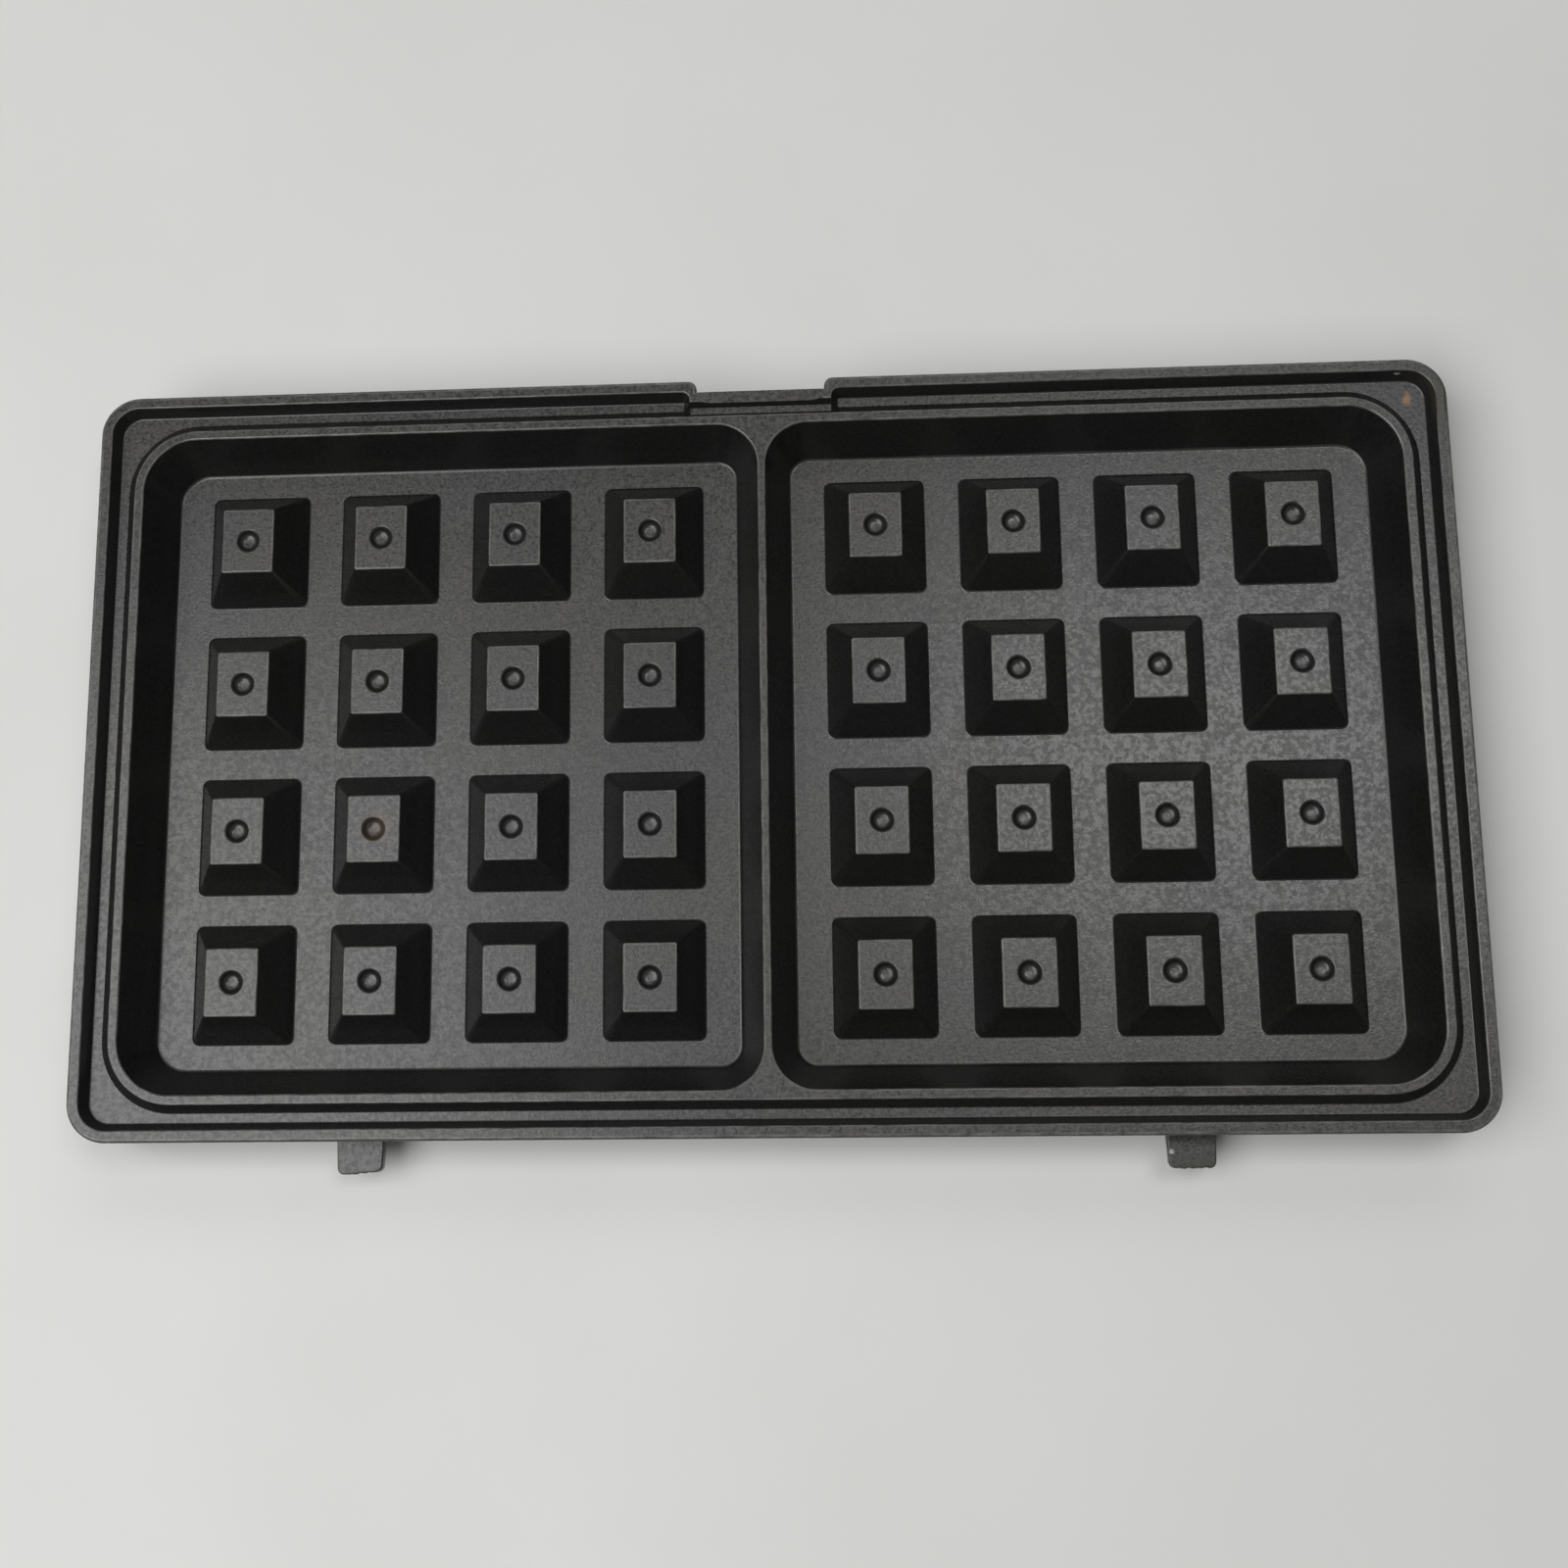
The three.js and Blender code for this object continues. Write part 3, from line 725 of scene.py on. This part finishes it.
def peg_blank(plan):
    """One tapered peg about the origin, rooted in the floor, with its edges rounded."""
    moulds, fine = plan.moulds, plan.fine
    foot = moulds.peg_foot_reach
    flange = foot + fine.seat
    half = (plan.peg_length / 2, plan.peg_width / 2)
    peg = centred_plane("peg", (half[X] + flange, half[Y] + flange), -fine.overrun)
    round_corners(moulds.peg_base_corner + flange, fine.peg_corner)
    pick("FACE")
    carry([(0, -fine.overrun), (0, -fine.seat), (flange, 0), (flange, moulds.peg_height)])
    top = (half[0] - moulds.peg_run_along, half[1] - moulds.peg_run_across)
    shares = (top[0] / half[0], top[1] / half[1])
    bpy.ops.transform.resize(value=(*shares, 1), center_override=(0, 0, moulds.peg_height))
    corner = moulds.peg_base_corner
    peg_corners(plan, top, moulds.peg_top_corner, (corner * shares[0], corner * shares[1]))
    for height, reach in ((0, foot), (moulds.peg_height, moulds.peg_top_reach)):
        round_edges(reach, fine.edge, lies(Z, height))
    close_up()
    return peg


def chain(name, points, closed=False):
    """Chain of edges through points, open in edit mode and selected."""
    leave_edit()
    bpy.ops.mesh.primitive_plane_add(size=STUB, location=(0, 0, 0))
    piece = bpy.context.object
    piece.name = name
    edit(piece)
    bpy.ops.mesh.select_all(action="SELECT")
    bpy.ops.mesh.merge(type="CENTER")
    bpy.ops.mesh.select_mode(type="VERT")
    bpy.ops.mesh.select_all(action="SELECT")
    bpy.ops.transform.translate(value=points[0])
    for start, end in zip(points, points[1:]):
        bpy.ops.mesh.extrude_region_move(TRANSFORM_OT_translate={"value": Vector(end) - Vector(start)})
    bpy.ops.mesh.select_all(action="SELECT")
    if closed:
        pick("VERT", lambda vertex: len(vertex.link_edges) == 1)
        bpy.ops.mesh.edge_face_add()
        bpy.ops.mesh.select_all(action="SELECT")
    return piece


def merge_up():
    """Merges what meets in the piece in edit mode and closes it up."""
    bpy.ops.mesh.select_all(action="SELECT")
    bpy.ops.mesh.remove_doubles(threshold=TINY)
    close_up()


def dimple_tool(plan):
    """Turned tool that cuts a dimple with a flattened middle and a rounded edge."""
    moulds, fine = plan.moulds, plan.fine
    half, depth, top = moulds.dimple_width / 2, moulds.dimple_depth, moulds.peg_height
    steps = fine.dimple // 4
    bowl = []
    for step in range(steps):
        part = step / steps
        bowl.append(Vector((half * part, top - depth * (1 - part ** moulds.dimple_power))))
    lip = rounded_profile(
        [(*bowl[-1], 0), (half, top, moulds.dimple_round), (half + STUB, top, 0)], fine.edge
    )[1:-1]
    outer = lip[-1].x
    above = top + fine.overrun
    line = [*bowl, *lip[:-1], (outer, top + fine.seat), (outer, above), (0, above)]
    tool = chain("dimple tool", [(x, 0, z) for x, z in line])
    bpy.ops.mesh.spin(steps=fine.dimple, angle=2 * math.pi, center=(0, 0, 0), axis=(0, 0, 1))
    merge_up()
    return tool


def peg_core(plan):
    """Core that hollows one peg from below."""
    moulds, fine = plan.moulds, plan.fine
    along = plan.level_wall(moulds.peg_run_along, moulds.peg_height)
    across = plan.level_wall(moulds.peg_run_across, moulds.peg_height)
    mouth = plan.floor_underside - fine.overrun

    def half(height):
        part = height / moulds.peg_height
        return (
            plan.peg_length / 2 - moulds.peg_run_along * part - along,
            plan.peg_width / 2 - moulds.peg_run_across * part - across,
        )

    core = tapered_block("core", half(mouth), half(plan.core_top), 0, mouth, plan.core_top)
    edit(core)
    radius = plan.below.inner_round
    round_edges(radius, fine.edge, lambda edge: abs(edge.verts[0].co.z - edge.verts[1].co.z) > fine.overrun)
    round_edges(radius / 2, fine.edge, lies(Z, plan.core_top))
    leave_edit()
    return core


def at_every_peg(plan, pattern):
    """Copies a piece to every peg of both moulds, each with its own mesh, and joins the copies."""
    moulds = plan.moulds
    copies = []
    for side in (-1, 1):
        for column in range(moulds.columns):
            for row in range(moulds.rows):
                x = side * plan.mould_x + (column - (moulds.columns - 1) / 2) * plan.pitch_along
                y = (row - (moulds.rows - 1) / 2) * plan.pitch_across
                choose(pattern)
                bpy.ops.object.duplicate()
                bpy.ops.transform.translate(value=(x, y, 0))
                copies.append(bpy.context.object)
    bpy.data.objects.remove(pattern)
    return joined(copies)


def joined(pieces):
    """Joins pieces into the first of them, with its place in its mesh."""
    leave_edit()
    for piece in pieces:
        piece.select_set(True)
    bpy.context.view_layer.objects.active = pieces[0]
    bpy.ops.object.join()
    bpy.ops.object.transform_apply(location=True, rotation=True, scale=True)
    return pieces[0]


def divider_slot(plan):
    """Slot under the divider, which keeps the wall between the moulds thin."""
    edge, below = plan.edge, plan.below
    wall = plan.level_wall(edge.mould_wall_run, edge.rib_height)
    mouth = plan.floor_underside - plan.fine.overrun
    low_half = plan.low_x + plan.slope * (edge.rib_height - mouth) - wall
    top = edge.rib_height - (below.slot_width / 2 + wall - plan.low_x) / plan.slope
    end = plan.floor_width / 2 - below.slot_draft
    return tapered_block(
        "slot", (low_half, end), (below.slot_width / 2, end - below.slot_draft), 0, mouth, top
    )


def along_loop(plan, name, outline):
    """Sweeps a closed section, given as (outwards, up) points, round the heating element's loop."""
    radius = plan.pitch_across
    straight = plan.below.loop_length - 2 * radius
    points = [(-straight / 2, -radius - outwards, up) for outwards, up in outline]
    ring = chain(name, points, closed=True)
    for side in (1, -1):
        bpy.ops.mesh.extrude_region_move(TRANSFORM_OT_translate={"value": (side * straight, 0, 0)})
        bpy.ops.mesh.spin(
            steps=plan.fine.loop, angle=-math.pi, center=(side * straight / 2, 0, 0), axis=(0, 0, 1)
        )
    merge_up()
    return ring


def heater_column(plan):
    """Walls of the heater's ring carried up, which end the cores beside it."""
    half = plan.below.ring_width / 2 + plan.below.ring_draft
    low = plan.floor_underside - 2 * plan.fine.overrun
    high = plan.core_top + plan.fine.overrun
    return along_loop(plan, "heater column", [(half, low), (half, high), (-half, high), (-half, low)])


def heater_ring(plan):
    """Ring with leaning sides that stands below the floor and carries the plate."""
    foot = plan.below.ring_width / 2
    root = foot + plan.below.ring_draft
    low, floor = plan.ring_bottom, plan.floor_underside
    high = floor / 2
    outline = [(foot, low), (root, floor), (root, high), (-root, high), (-root, floor), (-foot, low)]
    return along_loop(plan, "heater ring", outline)


def heater_groove(plan):
    """Half-round groove along the ring, for the heating element."""
    radius, steps = plan.below.groove, plan.fine.dimple // 2
    mouth = plan.ring_bottom - plan.fine.overrun
    outline = [(radius, mouth)]
    for step in range(steps + 1):
        angle = math.pi * step / steps
        outline.append((radius * math.cos(angle), plan.ring_bottom + radius * math.sin(angle)))
    outline.append((-radius, mouth))
    return along_loop(plan, "heater groove", outline)


def break_tip(piece, tip, catch, shares):
    """Sets points of a lug's tip back by shares of the break. The corners follow the outermost points."""
    pick("EDGE", lies(Y, tip))
    bpy.ops.mesh.subdivide(number_cuts=len(shares) - 2)
    mesh = bmesh.from_edit_mesh(piece.data)
    points = sorted(vertex.co.x for vertex in mesh.verts if near(vertex.co.y, tip))
    starts = [-math.inf, *(x - TINY for x in points[1:])]
    inner = tip + catch.lug_corner + TINY
    for start, end, part in zip(starts, [*starts[1:], math.inf], shares):
        pick("VERT", lambda vertex: start <= vertex.co.x < end and vertex.co.y < inner)
        bpy.ops.transform.translate(value=(0, part * catch.lug_break, 0))


def lug(plan, side):
    """One of the two lugs on the near side, narrower at its tip."""
    catch, below, fine = plan.catch, plan.below, plan.fine
    x = side * catch.lug_spacing / 2
    skirt = -plan.width / 2
    tip = skirt - plan.edge.reach
    root = skirt + below.skirt / 2
    low = -below.skirt_drop + catch.lug_rise
    high = low + catch.lug_thickness
    half = catch.lug_root / 2
    piece = plane("lug", (x - half, tip), (x + half, skirt), low)
    pick("VERT", lambda vertex: near(vertex.co.y, tip))
    bpy.ops.transform.resize(value=(catch.lug_tip / catch.lug_root, 1, 1), center_override=(x, tip, low))
    round_corners(catch.lug_corner, fine.edge, lambda co: near(co.y, tip))
    break_tip(piece, tip, catch, LUG_BREAK_SHARES[side])
    pick("EDGE", lies(Y, skirt))
    bpy.ops.mesh.extrude_region_move(TRANSFORM_OT_translate={"value": (0, root - skirt, 0)})
    raise_solid([(0, low), (0, high)])
    edit(piece)
    at_root = lies(Y, root)
    for height in (low, high):
        level = lies(Z, height)
        round_edges(catch.lug_round, fine.edge, lambda edge: level(edge) and not at_root(edge))
    leave_edit()
    return piece


def peg(plan):
    """One peg with its dimple."""
    piece = peg_blank(plan)
    combine(piece, dimple_tool(plan), "DIFFERENCE")
    return piece


def cores(plan):
    """Cores under the pegs and the divider, ended where the heater's ring stands."""
    piece = at_every_peg(plan, peg_core(plan))
    combine(piece, divider_slot(plan), "UNION")
    combine(piece, heater_column(plan), "DIFFERENCE")
    return piece


def at_rest(plan, piece):
    """Moves a finished piece from the plate's own coordinates to its place in the frame."""
    choose(piece)
    bpy.ops.transform.translate(value=(0, plan.middle_y, plan.floor_level))
    bpy.ops.object.transform_apply(location=True, rotation=True, scale=True)


def smooth(piece, angle):
    """Shades a piece smooth across edges flatter than an angle, with the flats kept flat."""
    choose(piece)
    bpy.ops.object.shade_smooth_by_angle(angle=angle)
    modifier = piece.modifiers.new("flats", "WEIGHTED_NORMAL")
    modifier.keep_sharp = True
    bpy.ops.object.modifier_apply(modifier=modifier.name)


class WAFFLE_OT_casting(Operator):
    """Models the plate as one casting: rim, gutter, rib, moulds with pegs, catch, lugs and underside"""

    bl_idname = "waffle.casting"
    bl_label = "Cast waffle plate"

    def execute(self, context):
        plan = Plan(context.scene)
        casting = outer_block(plan)
        steps = [
            (skirt_hollow, "DIFFERENCE"),
            (tray_hull, "UNION"),
            (gutter_hollow, "DIFFERENCE"),
            (rib_block, "UNION"),
            (gutter_pad, "UNION"),
            (ledge_hollow, "DIFFERENCE"),
        ]
        for make, operation in steps:
            combine(casting, make(plan), operation)
        for side in (-1, 1):
            combine(casting, mould_hollow(plan, side), "DIFFERENCE")
            combine(casting, lug(plan, side), "UNION")
        combine(casting, at_every_peg(plan, peg(plan)), "UNION")
        combine(casting, heater_ring(plan), "UNION")
        combine(casting, cores(plan), "DIFFERENCE")
        combine(casting, heater_groove(plan), "DIFFERENCE")
        casting.name = "waffle_plate_casting"
        mark(casting, STEEP, lambda face: tilt(face) > FLAT_TILT)
        # rounded top edges are marked for the coating's wear and its painted highlight
        mark(casting, RUBBED_HIGHLIGHT, plan.is_edge)
        at_rest(plan, casting)
        smooth(casting, SMOOTH_ANGLE)
        casting.data.materials.clear()
        casting.data.materials.append(coating(context.scene.waffle_coat))
        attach(casting, "root")
        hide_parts(NODE)
        return {"FINISHED"}


def feed(tree, node, inputs):
    """Gives sockets of a node, by name or by number, their values or links."""
    for socket, value in inputs.items():
        if isinstance(value, bpy.types.NodeSocket):
            tree.links.new(value, node.inputs[socket])
        else:
            node.inputs[socket].default_value = value


def add(tree, kind, inputs=None, **settings):
    """Adds a shader node with its settings, and gives its sockets their values or links."""
    node = tree.nodes.new(kind)
    for name, value in settings.items():
        setattr(node, name, value)
    feed(tree, node, inputs or {})
    return node


def maths(tree, operation, a, b):
    """One step of arithmetic on two values."""
    return add(tree, "ShaderNodeMath", {0: a, 1: b}, operation=operation).outputs["Value"]


def ramp(tree, value, low, high, to_low=0, to_high=1):
    """Carries a value from one range over to another."""
    inputs = {"Value": value, "From Min": low, "From Max": high, "To Min": to_low, "To Max": to_high}
    return add(tree, "ShaderNodeMapRange", inputs).outputs["Result"]


def mix(tree, share_of_b, a, b):
    """Mixes two colours. The node's inputs 0, 6 and 7 are share and colours, its output 2 the result."""
    return add(tree, "ShaderNodeMix", {0: share_of_b, 6: a, 7: b}, data_type="RGBA").outputs[2]


def mix_values(tree, share_of_b, a, b):
    """Mixes two values. The node's inputs 0, 2 and 3 are share and values, its output 0 the result."""
    return add(tree, "ShaderNodeMix", {0: share_of_b, 2: a, 3: b}).outputs[0]


def opaque(rgb):
    """Colour with its alpha."""
    return (*rgb, 1)


def zone(tree, name):
    """Mask of the faces that carry the value 1 in an attribute."""
    return add(tree, "ShaderNodeAttribute", attribute_name=name).outputs["Fac"]


def noise(tree, position, size, detail=2):
    """Noise whose spots are about a size across."""
    scale = maths(tree, "DIVIDE", 1, size)
    inputs = {"Vector": position, "Scale": scale, "Detail": detail}
    return add(tree, "ShaderNodeTexNoise", inputs).outputs["Fac"]


def new_group(name, numbers, result, kind):
    """Node group that takes a position and some numbers, with the sockets of its inputs and its result."""
    group = bpy.data.node_groups.new(name, "ShaderNodeTree")
    group.interface.new_socket(name="Position", in_out="INPUT", socket_type="NodeSocketVector")
    for number_name in numbers:
        group.interface.new_socket(name=number_name, in_out="INPUT", socket_type="NodeSocketFloat")
    group.interface.new_socket(name=result, in_out="OUTPUT", socket_type=kind)
    given = group.nodes.new("NodeGroupInput").outputs
    return group, given, group.nodes.new("NodeGroupOutput").inputs[result]


def speckle_group():
    """Node group for soft specks or clouds of a size, which the coating and the table both use."""
    group, given, result = new_group("speckle", ("Size", "Softness"), "Mask", "NodeSocketFloat")
    cloud = noise(group, given["Position"], given["Size"], SPECKLE_DETAIL)
    low, high = (maths(group, side, NOISE_MIDDLE, given["Softness"]) for side in ("SUBTRACT", "ADD"))
    group.links.new(ramp(group, cloud, low, high), result)
    return group


def grain_group():
    """Node group for a fine grain, which the coating and the table both use."""
    group, given, result = new_group("grain", ("Size", "Height", "Strength"), "Normal", "NodeSocketVector")
    height = noise(group, given["Position"], given["Size"])
    inputs = {"Height": height, "Distance": given["Height"], "Strength": given["Strength"]}
    group.links.new(add(group, "ShaderNodeBump", inputs).outputs["Normal"], result)
    return group


def speckle(tree, position, size, softness):
    """Mask of soft specks or clouds of a size."""
    group = bpy.data.node_groups.get("speckle") or speckle_group()
    inputs = {"Position": position, "Size": size, "Softness": softness}
    return add(tree, "ShaderNodeGroup", inputs, node_tree=group).outputs["Mask"]


def grained(tree, position, size, height, strength=1):
    """Normal of a surface with a fine grain."""
    group = bpy.data.node_groups.get("grain") or grain_group()
    inputs = {"Position": position, "Size": size, "Height": height, "Strength": strength}
    return add(tree, "ShaderNodeGroup", inputs, node_tree=group).outputs["Normal"]


def spot(tree, position, middle, half_size, fade):
    """Mask of one spot with a ragged edge. Its middle and half its size are in millimetres."""
    inputs = {"Vector": position, "Location": Vector(middle) * MM, "Scale": Vector(half_size) * MM}
    own = add(tree, "ShaderNodeMapping", inputs, vector_type="TEXTURE").outputs["Vector"]
    reach = add(tree, "ShaderNodeVectorMath", {0: own}, operation="LENGTH").outputs["Value"]
    ragged = ramp(tree, noise(tree, position, min(half_size) * MM), *RAGGED_RANGE, -RAGGED, RAGGED)
    return ramp(tree, maths(tree, "ADD", reach, ragged), 1 + fade, 1 - fade)


def new_paint(name):
    """New material, with its node tree, its shader and the Object coordinates."""
    material = bpy.data.materials.new(name)
    material.use_nodes = True
    tree = material.node_tree
    return material, tree, tree.nodes["Principled BSDF"], add(tree, "ShaderNodeTexCoord").outputs["Object"]


def coat_colour(tree, position, steep, look):
    """Colour of the coating: flecked, less so on slopes as painted shade, tanned in places, rubbed at edges
    with a painted highlight there, and marked.
    """
    flecks = speckle(tree, position, look.fleck_size, FLECK_SOFTNESS)
    # slopes get less of the flecks' colour, painted shade on the steep faces
    shaded_slope_flecks = ramp(tree, flecks, 0, 1, look.slope_shade_low, look.slope_shade_high)
    tanned = speckle(tree, position, TAN_SIZE, TAN_SOFTNESS)
    fleck = mix(tree, tanned, opaque(look.fleck), opaque(look.tanned))
    base = mix(tree, mix_values(tree, steep, flecks, shaded_slope_flecks), opaque(look.dark), fleck)
    # rubbed edges: worn coating, painted light enough to stand in for the highlight on the rounds
    rubbing_highlight = ramp(tree, noise(tree, position, RUB_SIZE), *RUB_RANGE, RUB_LEAST, 1)
    rubbed = maths(tree, "MULTIPLY", zone(tree, RUBBED_HIGHLIGHT), rubbing_highlight)
    base = mix(tree, rubbed, base, opaque(look.worn_edge_highlight))
    for name, middle, half_size, fade in MARKS:
        base = mix(tree, spot(tree, position, middle, half_size, fade), base, opaque(getattr(look, name)))
    return base


def coat_roughness(tree, position, steep, look):
    """Roughness of the coating: patchy, and less so on slopes."""
    patches = speckle(tree, position, look.fleck_size * PATCH_SIZE, FLECK_SOFTNESS)

    def patchy(middle, change):
        return ramp(tree, patches, 0, 1, middle - change / 2, middle + change / 2)

    flat = patchy(look.flat_roughness, look.uneven)
    return mix_values(tree, steep, flat, patchy(look.steep_roughness, look.uneven * SLOPE_CHANGE))


def coating(look):
    """Dark satin non-stick coating, flecked, grained and used."""
    material, tree, shader, position = new_paint("nonstick_coating")
    steep = zone(tree, STEEP)
    strength = ramp(tree, steep, 0, 1, 1, look.slope_grain)
    feed(tree, shader, {
        "Base Color": coat_colour(tree, position, steep, look),
        "Roughness": coat_roughness(tree, position, steep, look),
        "IOR": look.refraction,
        "Normal": grained(tree, position, look.grain, look.grain_height, strength),
    })
    return material


class WAFFLE_OT_stage(Operator):
    """Lays a pale table under the plate, lights it softly and sets the camera above it"""

    bl_idname = "waffle.stage"
    bl_label = "Table, lights and camera"

    def execute(self, context):
        look = context.scene.waffle_stage
        table_top(look)
        for side in ("left", "right", "back"):
            middle, size, watts = (getattr(look, f"{side}_{part}") for part in ("place", "size", "power"))
            soft_light(f"{side} lamp", middle, size, watts)
        world_light(context.scene, look)
        camera(context.scene, look)
        context.scene.view_settings.view_transform = "Standard"
        return {"FINISHED"}


def table_top(look):
    """Pale table top that the plate stands on."""
    leave_edit()
    bpy.ops.mesh.primitive_plane_add(size=look.table_size, location=(0, 0, 0))
    table = bpy.context.object
    table.name = "table_top"
    table.data.materials.append(table_paint(look))
    return table


def table_paint(look):
    """Pale matt paint with faint clouds and a fine grain, which fades into the backdrop far away."""
    material, tree, shader, position = new_paint("table_paint")
    clouds = speckle(tree, position, CLOUD_SIZE, CLOUD_SOFTNESS)
    feed(tree, shader, {
        "Base Color": mix(tree, clouds, opaque(look.table), opaque(look.table_dark)),
        "Roughness": ramp(tree, clouds, 0, 1, *TABLE_ROUGHNESS),
        "Normal": grained(tree, position, *TABLE_GRAIN),
    })
    distance = add(tree, "ShaderNodeVectorMath", {0: position}, operation="LENGTH").outputs["Value"]
    far = maths(tree, "MULTIPLY", ramp(tree, distance, look.fade_start, look.fade_end), seen_rays(tree))
    backdrop = {"Color": opaque(look.table), "Strength": look.backdrop}
    glow = add(tree, "ShaderNodeEmission", backdrop).outputs["Emission"]
    faded = add(tree, "ShaderNodeMixShader", {0: far, 1: shader.outputs["BSDF"], 2: glow})
    feed(tree, tree.nodes["Material Output"], {"Surface": faded.outputs["Shader"]})
    return material


def seen_rays(tree):
    """Mask of the rays of the camera, of gloss and of glass."""
    path = add(tree, "ShaderNodeLightPath").outputs
    seen = path["Is Camera Ray"]
    for ray in ("Is Glossy Ray", "Is Transmission Ray"):
        seen = maths(tree, "MAXIMUM", seen, path[ray])
    return seen


def soft_light(name, middle, size, watts):
    """Flat lamp above the plate that looks straight down."""
    lamp = bpy.data.lights.new(name, "AREA")
    lamp.shape = "RECTANGLE"
    lamp.size, lamp.size_y = size
    lamp.energy = watts
    light = bpy.data.objects.new(name, lamp)
    light.location = middle
    light.visible_camera = False
    bpy.context.scene.collection.objects.link(light)


def world_light(scene, look):
    """Weak light from all round, and a pale backdrop that the camera, gloss and glass see."""
    world = bpy.data.worlds.new("studio")
    world.use_nodes = True
    scene.world = world
    tree = world.node_tree
    strength = ramp(tree, seen_rays(tree), 0, 1, look.fill, look.backdrop)
    feed(tree, tree.nodes["Background"], {"Color": opaque(look.table), "Strength": strength})


def camera(scene, look):
    """Camera above the plate, a little to the right of its middle."""
    data = bpy.data.cameras.new("camera")
    data.lens = look.lens
    data.sensor_width = look.sensor
    data.shift_x, data.shift_y = look.shift
    data.clip_start = CLIP_START
    piece = bpy.data.objects.new("camera", data)
    piece.location = look.camera_place
    piece.rotation_euler = look.camera_turn
    scene.collection.objects.link(piece)
    scene.camera = piece


class WAFFLE_PT_plate(Panel):
    """Lists the settings of the plate and of its stage, each above the operator that uses them"""

    bl_idname = "WAFFLE_PT_plate"
    bl_label = "Waffle plate"
    bl_space_type = "VIEW_3D"
    bl_region_type = "UI"
    bl_category = "Waffle plate"

    def draw(self, context):
        """Draws a box for each group of settings, and a button for each operator."""
        for operator, groups in SETTINGS.items():
            for name, (label, group) in groups.items():
                box = self.layout.box()
                box.label(text=label)
                for setting in group.__annotations__:
                    box.prop(getattr(context.scene, name), setting)
            self.layout.operator(operator)


# each operator's settings: their name in the scene, their label and their class
SETTINGS = {
    "waffle.casting": {
        "waffle_edge": ("Edge", EdgeSizes),
        "waffle_moulds": ("Moulds and pegs", MouldSizes),
        "waffle_catch": ("Catch and lugs", CatchSizes),
        "waffle_underside": ("Underside", UndersideSizes),
        "waffle_fineness": ("Fineness", Fineness),
        "waffle_coat": ("Coating", CoatLook),
    },
    "waffle.stage": {"waffle_stage": ("Table, lights and camera", StageLook)},
}
GROUPS = {name: entry for groups in SETTINGS.values() for name, entry in groups.items()}
CLASSES = [group for label, group in GROUPS.values()]
CLASSES += [WAFFLE_OT_casting, WAFFLE_OT_stage, WAFFLE_PT_plate]


def register():
    """Registers the classes and the settings."""
    for entry in CLASSES:
        bpy.utils.register_class(entry)
    for name, (label, group) in GROUPS.items():
        setting = PointerProperty(name=label, description=group.__doc__, type=group)
        setattr(bpy.types.Scene, name, setting)


def unregister():
    """Takes the settings and the classes away again."""
    for name in GROUPS:
        delattr(bpy.types.Scene, name)
    for entry in reversed(CLASSES):
        bpy.utils.unregister_class(entry)


def main():
    """Builds the plate and its stage."""
    register()
    bpy.ops.waffle.casting()
    bpy.ops.waffle.stage()


if __name__ == "__main__":
    main()
